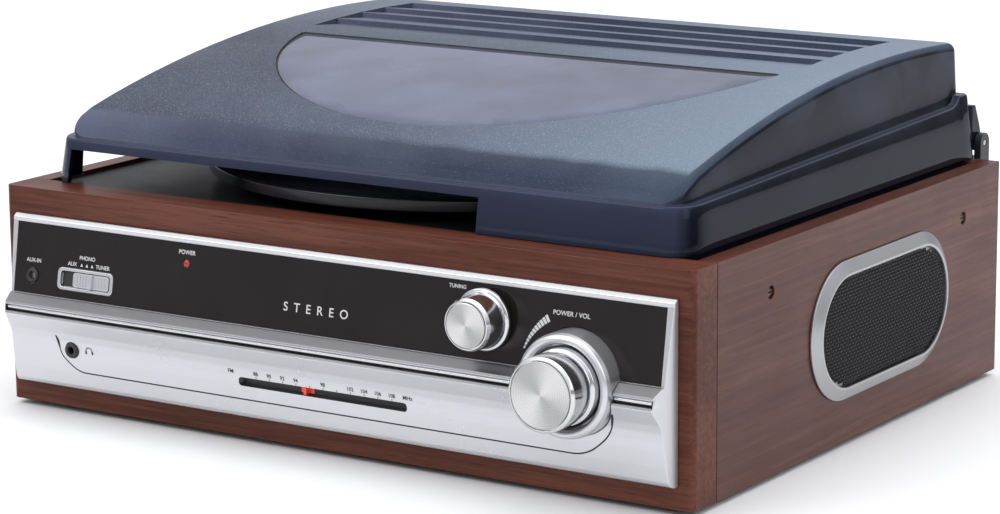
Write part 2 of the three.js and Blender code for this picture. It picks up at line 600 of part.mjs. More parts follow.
// ---------------------------------------------------------------- tonearm
function addTonearm() {
  const { x, y, z, length, tubeRadius } = arm;
  const top = deck.top;
  add('tonearm_base', cut(
    joined(
      turned([[0, top - 8], [10, top - 8], [10, top + gap], [20, top + gap], [20, top + 4], [14, top + 6],
        [12, top + 12.6], [0, top + 12.6]], x, y, 32),
      block(cue.x - 8, cue.x + 8, cue.y - 7, cue.y + 14, top + gap, cue.z - 4.6),
      block(cue.x - 8, cue.x - 5.2, cue.y - 4, cue.y + 4, cue.z - 4.7, cue.z + 4),
      block(cue.x + 5.2, cue.x + 8, cue.y - 4, cue.y + 4, cue.z - 4.7, cue.z + 4),
    ),
    rod(1.9, [cue.x - 10, cue.y, cue.z], [cue.x + 10, cue.y, cue.z], 12),
  ), black());
  const seat = top + 13;
  const yokeTop = z + 6;
  add('tonearm_gimbal', cut(
    joined(
      turned([[0, seat], [12.6, seat], [12.6, seat + 2.6], [0, seat + 2.6]], x, y, 28),
      block(x - 11.6, x - 8.2, y - 5, y + 5, seat + 1, yokeTop),
      block(x + 8.2, x + 11.6, y - 5, y + 5, seat + 1, yokeTop),
    ),
    rod(2.1, [x - 20, y, z], [x + 20, y, z], 12),
  ), aluminium());
  const headBack = y - length + 24;
  const tube = joined(
    rod(tubeRadius, [x, y + 14, z], [x, headBack, z], 20),
    block(x - 6.4, x + 6.4, y - 7, y + 7, z - 5.4, z + 5.4),
    rod(1.8, [x - 11.4, y, z], [x + 11.4, y, z], 12),
  );
  add('tonearm_tube', tube, aluminium());
  add('counterweight', turnedY([[0, y + 14.3], [9, y + 14.3], [9.4, y + 15], [9.4, y + 27], [8.4, y + 28],
    [0, y + 28]], x, z, 28), black());

  const headAngle = -0.36;
  const aim = new THREE.Matrix4().makeRotationZ(headAngle).setPosition(x, headBack - gap, z);
  const shellPlan = shapeOf([[-4, 0], [4, 0], [8.6, -10], [8.6, -32], [6.4, -35], [-6.4, -35],
    [-8.6, -32], [-8.6, -10]]);
  const shell = cut(
    joined(
      prismZ(shellPlan, -2.4, 3),
      block(8, 18, -32, -26, 0.6, 2.2),
    ),
    block(-7, 7, -33, -11, -5, 1),
  ).transform(aim.elements);
  const flatEnd = block(x - 12, x + 30, headBack - gap, headBack + 20, z - 10, z + 10);
  add('headshell', cut(shell, flatEnd), black());
  const cartridge = joined(
    block(-6.4, 6.4, -31, -12, -6.2, 0.7),
    prismX([[-27, -6.1], [-21, -6.1], [-24.6, -9.4], [-26.2, -9.4]], -3, 3),
    prismX([[-25.2, -9.3], [-24.6, -9.3], [-24.9, -10.3]], -0.4, 0.4),
  ).transform(aim.elements);
  add('cartridge', cartridge, finish(0x8a1d1d, 0.4, 0));

  const cradle = z - tubeRadius - gap;
  add('arm_rest', joined(
    turned([[0, top + gap], [8, top + gap], [8, top + 2.4], [0, top + 2.4]], x, arm.restY, 20),
    rod(3.4, [x, arm.restY, top + 2], [x, arm.restY, cradle - 3.4], 16),
    block(x - 5.4, x + 8.4, arm.restY - 4, arm.restY + 4, cradle - 3.6, cradle),
    block(x + 4.4, x + 8.4, arm.restY - 4, arm.restY + 4, cradle - 1, z + 3),
  ), black());
}

function addDeckLevers() {
  const top = deck.top;
  const { x, y, z } = cue;
  add('cue_lever', joined(
    rod(1.6, [x - 7.6, y, z], [x + 7.6, y, z], 12),
    rod(3.6, [x - 4.8, y, z], [x + 4.8, y, z], 20),
    prismX([[y - 2, z - 2.6], [y - 30, z - 1.2], [y - 36, z - 0.6], [y - 36, z + 1.6], [y - 30, z + 1.8],
      [y - 2, z + 2.6]], x - 3, x + 3),
  ), black());

  const barTop = arm.z - arm.tubeRadius - gap - 0.3;
  const sweep = new THREE.Shape();
  const start = Math.PI * 1.24;
  const end = Math.PI * 1.53;
  sweep.absarc(arm.x, arm.y, cue.liftRadius + 1.4, start, end);
  sweep.absarc(arm.x, arm.y, cue.liftRadius - 1.4, end, start, true);
  add('cue_lifter', joined(
    prismZ(sweep, barTop - 2, barTop, 12),
    rod(1.3, [liftPost.x, liftPost.y, top + 4], [liftPost.x, liftPost.y, barTop - 1], 12),
  ), steel());

  add('speed_lever', joined(
    block(speed.x - 1.6, speed.x + 1.6, speed.y + 3, speed.y + 8, top - 6, top + 1),
    block(speed.x - 4, speed.x + 4, speed.y + 1, speed.y + 9.6, top + gap, top + 2),
    block(speed.x - 3, speed.x + 3, speed.y + 3.6, speed.y + 7, top + 1.9, top + 6.4),
  ), black());
}

// ---------------------------------------------------------------- dust cover and hinges
// The knuckle moulded on the back of the cover, which turns on the hinge pin.
function hingeLug() {
  const { x, y, z, lugHalfWidth, pinRadius } = hinge;
  const root = lid.rim.back - 1.4;
  const lug = new THREE.Shape();
  lug.moveTo(root, 126);
  lug.lineTo(y - 4.8, z);
  lug.absarc(y, z, 4.8, Math.PI, Math.PI * 2);
  lug.lineTo(y + 2, 133);
  lug.lineTo(root + 4, 145);
  lug.lineTo(root, 145);
  return cut(prismX(lug, x - lugHalfWidth, x + lugHalfWidth),
    rod(pinRadius + gap, [x - 20, y, z], [x + 20, y, z], 16));
}

// Height of the cover's top over y: one long arc from the front crease to the back edge.
const crown = { y: 96, z: 182, radius: 865 };
const crownHeight = (y, drop = 0) =>
  crown.z - crown.radius + Math.sqrt((crown.radius - drop) ** 2 - (y - crown.y) ** 2);

function coverSolid(inset) {
  const front = -141 + inset;
  const creaseY = -118 + inset * 0.7;
  const back = 158 - inset;
  const profile = [[front, 112], [front, 139 - inset]];
  const nose = new THREE.QuadraticBezierCurve(
    new THREE.Vector2(front, 139 - inset), new THREE.Vector2(front + 4, 150 - inset),
    new THREE.Vector2(creaseY, crownHeight(creaseY, inset)));
  nose.getPoints(5).slice(1).forEach((p) => profile.push([p.x, p.y]));
  const steps = 14;
  for (let i = 1; i <= steps; i += 1) {
    const y = creaseY + ((back - 4 - creaseY) * i) / steps;
    profile.push([y, crownHeight(y, inset)]);
  }
  profile.push([back, 176 - inset], [back + 1, 112]);
  const { rim, step, bodyBottom, bodyTop } = lid;
  const upper = prismX(profile, -200, 200).intersect(tapered(bodyBottom, bodyTop, inset));
  const below = inset > 0 ? 10 : 0;
  const ledge = [[-160, 139.2 - inset], [150, 147 - inset], [150, 152 - inset], [180, 152 - inset],
    [180, 100], [-160, 100]];
  const skirt = tapered({ ...rim, z: rim.z - below }, step, inset).intersect(prismX(ledge, -200, 200));
  const clipped = upper.intersect(block(-210, 210, -200, 200, rim.z - below, 200));
  return clipped.add(skirt);
}

function addCover() {
  const { wall } = lid;
  const louvres = [37, 60, 84, 107, 135];
  const depth = 3;
  const wedges = (drop) => louvres.slice(0, -1).map((front, i) => {
    const back = louvres[i + 1] - 1.5;
    return prismX([[front, crownHeight(front) - drop], [back, crownHeight(back) - depth - drop],
      [back + 1.2, crownHeight(back) + 2 - drop], [back - 3, crownHeight(back) + 2 - drop],
      [front + 3, crownHeight(front) + 2 - drop]], -155, 158);
  });
  const pane = new THREE.Shape();
  const paneRadius = 155;
  const paneMid = { x: 2, y: 50 };
  const paneBack = 20;
  const half = Math.asin((paneMid.y - paneBack) / paneRadius);
  pane.absarc(paneMid.x, paneMid.y, paneRadius, Math.PI + half, Math.PI * 2 - half);
  const paneDepth = 0.7;
  const arc = [];
  for (let y = -118; y <= 30; y += 14.8) {
    arc.push([y, crownHeight(y) - paneDepth]);
  }
  arc.push([40, 190], [-118, 190]);
  const paneCut = prismZ(pane, 140, 200, 40).intersect(prismX(arc, -170, 170));

  const outer = cut(coverSolid(0), ...wedges(0), paneCut);
  const hollow = cut(coverSolid(wall), ...wedges(wall));
  const shell = cut(
    outer,
    hollow,
    block(lidGap.left, lidGap.right, -170, -100, 100, lidGap.top),
    block(-210, -180, lidGap.sideFront, lidGap.sideBack, 100, lidGap.top),
  );
  const lug = hingeLug();
  add('dust_cover', joined(shell, lug, mirrored(lug, -1)), finish(0x2a3444, 0.25, 0, 0.6));
}

function addHinges() {
  const { x, y, z, halfWidth, lugHalfWidth, knuckle, pinRadius } = hinge;
  const face = cabinet.back + gap;
  const ear = new THREE.Shape();
  ear.moveTo(face, 92);
  ear.lineTo(y + 3, 92);
  ear.lineTo(y + knuckle, 96);
  ear.absarc(y, z, knuckle, 0, Math.PI);
  ear.lineTo(y - knuckle, 116);
  ear.lineTo(face, 114.6);
  const hole = rod(pinRadius + gap, [x - 20, y, z], [x + 20, y, z], 16);
  const slot = lugHalfWidth + gap;
  const bracket = cut(
    prismX(ear, x - halfWidth, x + halfWidth),
    block(x - slot, x + slot, face - 1, y + 20, 115.5, z + 20),
    hole,
  );
  const pin = rod(pinRadius, [x - halfWidth + 0.2, y, z], [x + halfWidth - 0.2, y, z], 16);
  for (const [name, side] of sides) {
    add(`hinge_bracket_${name}`, mirrored(bracket, side), black());
    add(`hinge_pin_${name}`, mirrored(pin, side), steel());
  }
}

addCabinet();
addSpeakers();
addFascia();
addSelector();
addKnobs();
addControlBoard();
addDial();
addElectronics();
addDeck();
addPlatter();
addTonearm();
addDeckLevers();
addCover();
addHinges();

const group = new THREE.Group();
group.add(assembly);
export default group;
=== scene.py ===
"""The looks of the turntable record player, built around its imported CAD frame.

Shapes are drawn in millimetres in the cabinet's frame (x right, y back, z up, origin under the middle of
the cabinet), and at() places them in the row frame in metres.
"""

import json
import math

import bmesh
import bpy
from mathutils import Matrix, Vector
from mathutils.geometry import delaunay_2d_cdt


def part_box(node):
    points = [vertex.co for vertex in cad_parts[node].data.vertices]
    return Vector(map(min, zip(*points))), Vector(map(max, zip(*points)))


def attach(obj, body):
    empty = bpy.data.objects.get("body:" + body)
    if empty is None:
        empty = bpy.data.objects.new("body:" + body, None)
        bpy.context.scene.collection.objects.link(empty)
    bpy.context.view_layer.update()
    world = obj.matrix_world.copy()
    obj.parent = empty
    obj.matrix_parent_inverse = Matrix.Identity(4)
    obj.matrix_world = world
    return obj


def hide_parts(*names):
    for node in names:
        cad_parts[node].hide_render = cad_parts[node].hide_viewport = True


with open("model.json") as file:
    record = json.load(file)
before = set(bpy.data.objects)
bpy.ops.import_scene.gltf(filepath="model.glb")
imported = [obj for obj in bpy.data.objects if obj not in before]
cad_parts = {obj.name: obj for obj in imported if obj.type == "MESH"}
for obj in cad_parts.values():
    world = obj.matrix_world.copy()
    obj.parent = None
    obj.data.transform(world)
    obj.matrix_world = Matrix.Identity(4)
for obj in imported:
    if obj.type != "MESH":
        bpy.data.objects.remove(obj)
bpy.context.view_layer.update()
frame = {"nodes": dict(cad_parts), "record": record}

MM = 0.001
CABINET_FRONT = -165.0
board_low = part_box("front_board")[0]
ORIGIN = Vector((0.0, board_low.y - CABINET_FRONT * MM, board_low.z))
record = frame["record"]
BODY_OF = {n: body for body, names in record["behaviour"]["bodies"].items() for n in names}
SLOT_OF = {part["node"]: part["material_slot"] for part in record["subparts"]}


def at(x, y, z):
    """A point of the cabinet's frame (mm) in the row frame (m)."""
    return ORIGIN + Vector((x, y, z)) * MM


# ---------------------------------------------------------------- camera
CAMERA_AT = (0.964758, -1.460528, 0.447107)
CAMERA_LENS = 120.45
CAMERA_AZIMUTH, CAMERA_ELEVATION, CAMERA_ROLL = (math.radians(a) for a in (33.364, 11.997, -0.446))


def add_camera():
    back = Vector((math.sin(CAMERA_AZIMUTH) * math.cos(CAMERA_ELEVATION),
                   -math.cos(CAMERA_AZIMUTH) * math.cos(CAMERA_ELEVATION), math.sin(CAMERA_ELEVATION)))
    level = Vector((math.cos(CAMERA_AZIMUTH), math.sin(CAMERA_AZIMUTH), 0.0))
    above = back.cross(level)
    right = level * math.cos(CAMERA_ROLL) + above * math.sin(CAMERA_ROLL)
    up = above * math.cos(CAMERA_ROLL) - level * math.sin(CAMERA_ROLL)
    data = bpy.data.cameras.new("camera")
    data.lens = CAMERA_LENS
    data.sensor_width = 36.0
    data.clip_start = 0.05
    data.clip_end = 60.0
    camera = bpy.data.objects.new("camera", data)
    turn = Matrix((right, up, back)).transposed().to_4x4()
    camera.matrix_world = Matrix.Translation(CAMERA_AT) @ turn
    bpy.context.scene.collection.objects.link(camera)
    bpy.context.scene.camera = camera


# ---------------------------------------------------------------- materials
class Look:
    """A material: one Principled shader, and helpers that add the nodes which feed it."""

    def __init__(self, name, **values):
        self.material = bpy.data.materials.new(name)
        self.material.use_nodes = True
        self.tree = self.material.node_tree
        self.tree.nodes.clear()
        self.output = self.tree.nodes.new("ShaderNodeOutputMaterial")
        self.shader = self.tree.nodes.new("ShaderNodeBsdfPrincipled")
        self.tree.links.new(self.shader.outputs[0], self.output.inputs["Surface"])
        for socket, value in values.items():
            self.shader.inputs[socket.replace("_", " ")].default_value = value

    def put(self, target, value):
        if isinstance(value, bpy.types.NodeSocket):
            self.tree.links.new(value, target)
        else:
            target.default_value = value

    def node(self, kind, *inputs, **settings):
        made = self.tree.nodes.new("ShaderNode" + kind)
        for key, value in settings.items():
            setattr(made, key, value)
        for index, value in inputs:
            self.put(made.inputs[index], value)
        return made

    def place(self, scale=(1, 1, 1), offset=(0, 0, 0)):
        coords = self.node("TexCoord").outputs["Object"]
        shifted = self.node("VectorMath", (0, coords), (1, offset), operation="SUBTRACT").outputs[0]
        return self.node("VectorMath", (0, shifted), (1, scale), operation="MULTIPLY").outputs[0]

    def noise(self, scale=1.0, detail=3.0, roughness=0.5, vector=None, distortion=0.0):
        vector = vector or self.place()
        return self.node("TexNoise", ("Vector", vector), ("Scale", scale), ("Detail", detail),
                         ("Roughness", roughness), ("Distortion", distortion)).outputs["Fac"]

    def math(self, operation, a, b=0.5, c=0.0):
        return self.node("Math", (0, a), (1, b), (2, c), operation=operation, use_clamp=False).outputs[0]

    def spread(self, value, low, high, to_low=0.0, to_high=1.0):
        return self.node("MapRange", (0, value), (1, low), (2, high), (3, to_low), (4, to_high)).outputs[0]

    def ramp(self, value, *stops):
        made = self.node("ValToRGB", (0, value))
        elements = made.color_ramp.elements
        while len(elements) < len(stops):
            elements.new(0.5)
        for element, (place, color) in zip(elements, stops):
            element.position = place
            element.color = (*color, 1.0)
        return made.outputs[0]

    def mix(self, factor, a, b, blend="MIX"):
        made = self.node("Mix", data_type="RGBA", blend_type=blend)
        self.put(made.inputs[0], factor)
        self.put(made.inputs[6], a if not isinstance(a, tuple) else (*a, 1.0))
        self.put(made.inputs[7], b if not isinstance(b, tuple) else (*b, 1.0))
        return made.outputs[2]

    def bump(self, height, strength, distance, under=None):
        made = self.node("Bump", ("Height", height), ("Strength", strength), ("Distance", distance))
        if under is not None:
            self.put(made.inputs["Normal"], under)
        return made.outputs[0]

    def normal(self, axis):
        """One part of the surface's direction, -1 to 1."""
        facing = self.node("NewGeometry").outputs["Normal"]
        return self.node("SeparateXYZ", (0, facing)).outputs["XYZ".index(axis)]

    def edges(self, radius, gain):
        """1 along convex and concave edges, 0 on open faces."""
        soft = self.node("Bevel", ("Radius", radius), samples=3).outputs[0]
        plain = self.node("NewGeometry").outputs["Normal"]
        same = self.node("VectorMath", (0, soft), (1, plain), operation="DOT_PRODUCT").outputs["Value"]
        return self.spread(same, 1.0, 1.0 - gain)

    def set(self, **sockets):
        for name, value in sockets.items():
            self.put(self.shader.inputs[name.replace("_", " ")], value)
        return self


def wood_foil(name, along, sheen):
    """Reddish-brown printed foil: long fine grain along one axis, dark pores, paler worn edges."""
    look = Look(name, Specular_IOR_Level=sheen, Coat_Weight=0.5 * sheen, Coat_Roughness=0.16)
    scale = lambda length, width: tuple(length if i == along else width for i in range(3))
    tone = look.noise(1.0, 3, 0.5, look.place(scale(2.2, 26.0)), 0.4)
    streak = look.noise(1.0, 5, 0.6, look.place(scale(9.0, 300.0)), 0.7)
    fibre = look.noise(1.0, 4, 0.65, look.place(scale(60.0, 900.0)))
    grain = look.math("MULTIPLY_ADD", streak, 0.55, look.math("MULTIPLY", tone, 0.45))
    color = look.ramp(grain, (0.34, (0.050, 0.0120, 0.0062)), (0.48, (0.078, 0.0215, 0.0115)),
                      (0.64, (0.130, 0.0440, 0.0270)))
    pores = look.spread(fibre, 0.55, 0.70)
    color = look.mix(look.math("MULTIPLY", pores, 0.6), color, (0.026, 0.0075, 0.0050))
    worn = look.math("MULTIPLY", look.edges(0.0012, 0.25), look.noise(60.0, 4, 0.6))
    color = look.mix(look.math("MULTIPLY", worn, 0.5), color, (0.20, 0.075, 0.048))
    rough = look.spread(look.noise(18.0, 4, 0.6), 0.3, 0.7, 0.30, 0.44)
    height = look.math("SUBTRACT", look.math("MULTIPLY", streak, 0.4), pores)
    return look.set(Base_Color=color, Roughness=rough,
                    Normal=look.bump(height, 0.35, 0.00006)).material


def painted_silver(name, base, roughness, metallic):
    """Silver paint on moulded plastic: fine metal flake, faint orange peel and handling marks, and a painted
    dark reflection on low faces that face up.
    """
    look = Look(name, Metallic=metallic, Specular_IOR_Level=0.5, Coat_Weight=0.15, Coat_Roughness=0.12)
    flake = look.noise(5200.0, 2, 0.5)
    cloud = look.noise(14.0, 4, 0.6)
    shade = look.math("MULTIPLY_ADD", flake, 0.006, look.math("MULTIPLY", cloud, 0.10))
    low, high = tuple(0.96 * c for c in base), tuple(1.03 * c for c in base)
    color = look.ramp(look.spread(shade, 0.02, 0.09), (0.0, low), (1.0, high))
    color = look.mix(look.math("MULTIPLY", look.edges(0.0006, 0.3), 0.06), color, (0.95, 0.95, 0.96))
    # painted dark reflection: faces that face up and lie low on the panel are darkened to near black
    height = look.node("SeparateXYZ", (0, look.place())).outputs["Z"]
    facing_up = look.spread(look.normal("Z"), 0.12, 0.5)
    painted_dark_band = look.math("MULTIPLY", facing_up, look.spread(height, 0.068, 0.066))
    color = look.mix(look.math("MULTIPLY", painted_dark_band, 0.8), color, (0.075, 0.070, 0.072))
    rough = look.spread(look.noise(30.0, 5, 0.65), 0.3, 0.7, roughness - 0.015, roughness + 0.02)
    under = look.bump(look.noise(420.0, 2, 0.5), 0.03, 0.0001)
    return look.set(Base_Color=color, Roughness=rough,
                    Normal=look.bump(flake, 0.015, 0.00001, under)).material


def polished(name, base, roughness):
    """Bright metal plate with faint smears and fine scratches."""
    look = Look(name, Metallic=1.0)
    smear = look.noise(40.0, 5, 0.7)
    scratch = look.noise(1.0, 3, 0.6, look.place((90.0, 2400.0, 2400.0)))
    color = look.ramp(smear, (0.2, tuple(0.93 * c for c in base)), (0.8, base))
    rough = look.spread(look.math("ADD", smear, look.math("MULTIPLY", scratch, 0.5)), 0.4, 1.1,
                        roughness * 0.7, roughness * 1.8)
    return look.set(Base_Color=color, Roughness=rough, Normal=look.bump(scratch, 0.03, 0.00001)).material


def spun(name, x, z):
    """A turned aluminium face about the Y axis through (x, z): fine rings, and painted light and shade in
    wedges about the centre.
    """
    look = Look(name, Metallic=1.0, Anisotropic=0.82)
    centre = at(x, 0, z)
    local = look.place((1, 1, 1), (centre.x, 0.0, centre.z))
    rings = look.node("TexWave", ("Vector", local), ("Scale", 1500.0), ("Distortion", 1.5),
                      ("Detail", 2.0), wave_type="RINGS", rings_direction="Y").outputs["Fac"]
    far = look.node("TexWave", ("Vector", local), ("Scale", 260.0), ("Distortion", 4.0),
                    ("Detail", 3.0), wave_type="RINGS", rings_direction="Y").outputs["Fac"]
    color = look.ramp(far, (0.0, (0.60, 0.595, 0.59)), (1.0, (0.70, 0.695, 0.69)))
    spot = look.node("SeparateXYZ", (0, local))
    # painted light and shade: wedges round the centre are darkened in turn, standing in for the spun metal's
    # highlights
    angle = look.math("ARCTAN2", spot.outputs["Z"], spot.outputs["X"])
    painted_fan = look.math("COSINE", look.math("MULTIPLY_ADD", angle, 2.0, -1.3))
    shade = look.math("MULTIPLY", look.spread(painted_fan, -0.9, 0.9, 0.75, 0.0), 0.8)
    color = look.mix(shade, color, (0.27, 0.27, 0.275))
    tangent = look.node("Tangent", direction_type="RADIAL", axis="Y").outputs[0]
    rough = look.spread(rings, 0.0, 1.0, 0.26, 0.34)
    return look.set(Base_Color=color, Roughness=rough, Tangent=tangent,
                    Normal=look.bump(rings, 0.12, 0.00002)).material


def moulded(name, base, roughness, grain=900.0, depth=0.00004, **values):
    """Moulded plastic or rubber: fine surface grain, uneven sheen, rubbed edges, a little dust."""
    look = Look(name, **values)
    fine = look.noise(grain, 3, 0.6)
    cloud = look.noise(22.0, 4, 0.6)
    color = look.ramp(cloud, (0.25, tuple(0.8 * c for c in base)), (0.75, tuple(1.2 * c for c in base)))
    rub = look.math("MULTIPLY", look.edges(0.0007, 0.3), look.noise(150.0, 3, 0.6))
    color = look.mix(look.math("MULTIPLY", rub, 0.35), color, tuple(2.2 * c + 0.02 for c in base))
    rough = look.spread(look.math("ADD", cloud, fine), 0.6, 1.4, roughness - 0.06, roughness + 0.07)
    return look.set(Base_Color=color, Roughness=rough, Normal=look.bump(fine, 0.3, depth)).material


def smoked(name, front, side, roughness, transmission, sheen):
    """Smoked plastic that lets lamps through so that the deck below it is lit; painted shade darkens its
    sides, and cloudy patches of painted sheen lighten it towards the top.
    """
    look = Look(name, Transmission_Weight=transmission, IOR=1.46, Specular_IOR_Level=sheen,
                Specular_Tint=(0.66, 0.76, 1.0, 1.0))
    # painted shade: faces that turn to the side take the darker side colour
    painted_side_shade = look.spread(look.math("ABSOLUTE", look.normal("X")), 0.45, 0.85)
    color = look.mix(painted_side_shade, front, side)
    # painted sheen: lighter cloudy patches, stronger towards the top
    cloud = look.noise(14.0, 4, 0.6)
    height = look.node("SeparateXYZ", (0, look.place())).outputs["Z"]
    upper = look.spread(height, 0.130, 0.185, 0.04, 0.75)
    glow = look.math("MULTIPLY", look.spread(cloud, 0.42, 0.66), upper)
    color = look.mix(glow, color, (0.060, 0.076, 0.130))
    smear = look.noise(35.0, 5, 0.7, look.place((1.0, 2.2, 1.0)))
    rough = look.spread(smear, 0.35, 0.75, roughness, roughness + 0.03)
    look.set(Base_Color=color, Roughness=rough, Normal=look.bump(look.noise(9.0, 2, 0.5), 0.03, 0.0002))
    clear = look.node("BsdfTransparent", ("Color", (0.42, 0.44, 0.52, 1.0)))
    lamps = look.node("LightPath").outputs["Is Shadow Ray"]
    both = look.node("MixShader", (0, lamps), (1, look.shader.outputs[0]), (2, clear.outputs[0]))
    look.put(look.output.inputs["Surface"], both.outputs[0])
    return look.material


def frosted_top(name):
    """The satin outside of the cover's top: grey-blue, with fine bright painted glints, a painted reflection
    that lightens it to the right and back, painted light and shade on the nose where it leans, and painted
    shade in the dips of its grain.
    """
    look = Look(name, Specular_IOR_Level=0.10, Specular_Tint=(0.70, 0.80, 1.0, 1.0))
    place = look.node("SeparateXYZ", (0, look.place()))
    across = look.spread(place.outputs["X"], -0.19, 0.18)
    flat = look.spread(look.normal("Z"), 0.91, 0.945)
    grain = look.spread(look.noise(1300.0, 2, 0.7), 0.32, 0.68)
    spark = look.spread(look.noise(1700.0, 1, 0.5), 0.62, 0.74)
    cloud = look.noise(11.0, 3, 0.6)
    # painted reflection: the flat top grows lighter towards the right
    level = look.ramp(across, (0.0, (0.026, 0.030, 0.050)), (0.45, (0.042, 0.052, 0.082)),
                      (1.0, (0.165, 0.215, 0.275)))
    # painted light and shade on the nose, which leans forward: lighter at its left end, darker across the
    # rest
    painted_nose_light = look.ramp(across, (0.0, (0.090, 0.095, 0.150)), (0.22, (0.040, 0.045, 0.075)),
                        (0.5, (0.024, 0.029, 0.050)), (1.0, (0.026, 0.040, 0.066)))
    # painted reflection: the flat top grows lighter towards the back
    level = look.mix(look.spread(place.outputs["Y"], 0.020, 0.120, 0.0, 0.6), level, (0.17, 0.205, 0.265))
    # faces that face up take the painted top colour, steeper faces the painted nose colour
    color = look.mix(flat, painted_nose_light, level)
    # painted shade: the low dips of the fine grain are darkened
    painted_grain_shade = look.math("MULTIPLY", look.math("SUBTRACT", 1.0, grain), 0.38)
    color = look.mix(painted_grain_shade, color, (0.020, 0.026, 0.038))
    # painted glints in the fine grain, brighter on the flat top than on the nose
    painted_glint = look.math("MULTIPLY", spark, look.spread(flat, 0.0, 1.0, 0.12, 0.60))
    color = look.mix(painted_glint, color, (0.42, 0.50, 0.60))
    color = look.mix(look.spread(cloud, 0.4, 0.8, 0.0, 0.25), color, (0.13, 0.17, 0.22))
    rough = look.spread(grain, 0.0, 1.0, 0.30, 0.44)
    return look.set(Base_Color=color, Roughness=rough, Normal=look.bump(grain, 0.18, 0.00004)).material


def circuit_board():
    look = Look("circuit_board", Specular_IOR_Level=0.5, Coat_Weight=0.3, Coat_Roughness=0.1)
    cells = look.node("TexVoronoi", ("Vector", look.place()), ("Scale", 260.0), feature="DISTANCE_TO_EDGE")
    tracks = look.spread(cells.outputs["Distance"], 0.03, 0.08)
    color = look.mix(tracks, (0.16, 0.22, 0.06), (0.012, 0.075, 0.028))
    rough = look.spread(look.noise(40.0), 0.3, 0.7, 0.3, 0.45)
    return look.set(Base_Color=color, Roughness=rough, Normal=look.bump(tracks, 0.4, 0.00005)).material


def chipboard():
    look = Look("raw_wood", Specular_IOR_Level=0.25)
    flakes = look.node("TexVoronoi", ("Vector", look.place()), ("Scale", 700.0))
    color = look.ramp(look.node("SeparateColor", (0, flakes.outputs["Color"])).outputs[0],
                      (0.0, (0.26, 0.17, 0.09)), (1.0, (0.50, 0.36, 0.21)))
    rough = look.spread(look.noise(80.0), 0.3, 0.7, 0.75, 0.9)
    return look.set(Base_Color=color, Roughness=rough,
                    Normal=look.bump(flakes.outputs["Distance"], 0.5, 0.0002)).material


def gloss_panel():
    """The dark brown-black front panel: glossy, with faint polishing haze and dust."""
    look = Look("panel_black", Specular_IOR_Level=0.22, Coat_Weight=0.25, Coat_Roughness=0.05)
    cloud = look.noise(12.0, 4, 0.6)
    speck = look.spread(look.noise(1800.0, 1, 0.5), 0.70, 0.78)
    color = look.ramp(cloud, (0.2, (0.0115, 0.0090, 0.0088)), (0.8, (0.0160, 0.0130, 0.0125)))
    color = look.mix(look.math("MULTIPLY", speck, 0.25), color, (0.10, 0.10, 0.10))
    rough = look.spread(look.noise(26.0, 5, 0.7), 0.3, 0.75, 0.12, 0.24)
    return look.set(Base_Color=color, Roughness=rough,
                    Normal=look.bump(look.noise(60.0, 2, 0.5), 0.03, 0.0002)).material


def glowing(name, base, glow):
    """A red translucent lens or pointer; glow sets its emission: the power LED's own light, and a painted
    glow on the dial pointer, which is no lamp.
    """
    look = Look(name, Specular_IOR_Level=0.6, Coat_Weight=0.5, Coat_Roughness=0.05,
                Emission_Strength=glow, Subsurface_Weight=0.2, Subsurface_Scale=0.001)
    cloud = look.noise(600.0, 2, 0.5)
    color = look.ramp(cloud, (0.2, tuple(0.85 * c for c in base)), (0.8, base))
    rough = look.spread(look.noise(200.0), 0.3, 0.7, 0.15, 0.3)
    return look.set(Base_Color=color, Emission_Color=color, Roughness=rough,
                    Normal=look.bump(cloud, 0.1, 0.00003)).material


def print_ink(name, base):
    look = Look(name, Specular_IOR_Level=0.4)
    color = look.ramp(look.noise(900.0, 3, 0.6), (0.3, tuple(0.85 * c for c in base)), (0.7, base))
    rough = look.spread(look.noise(300.0), 0.3, 0.7, 0.45, 0.6)
    return look.set(Base_Color=color, Roughness=rough,
                    Normal=look.bump(look.noise(2500.0), 0.1, 0.00001)).material


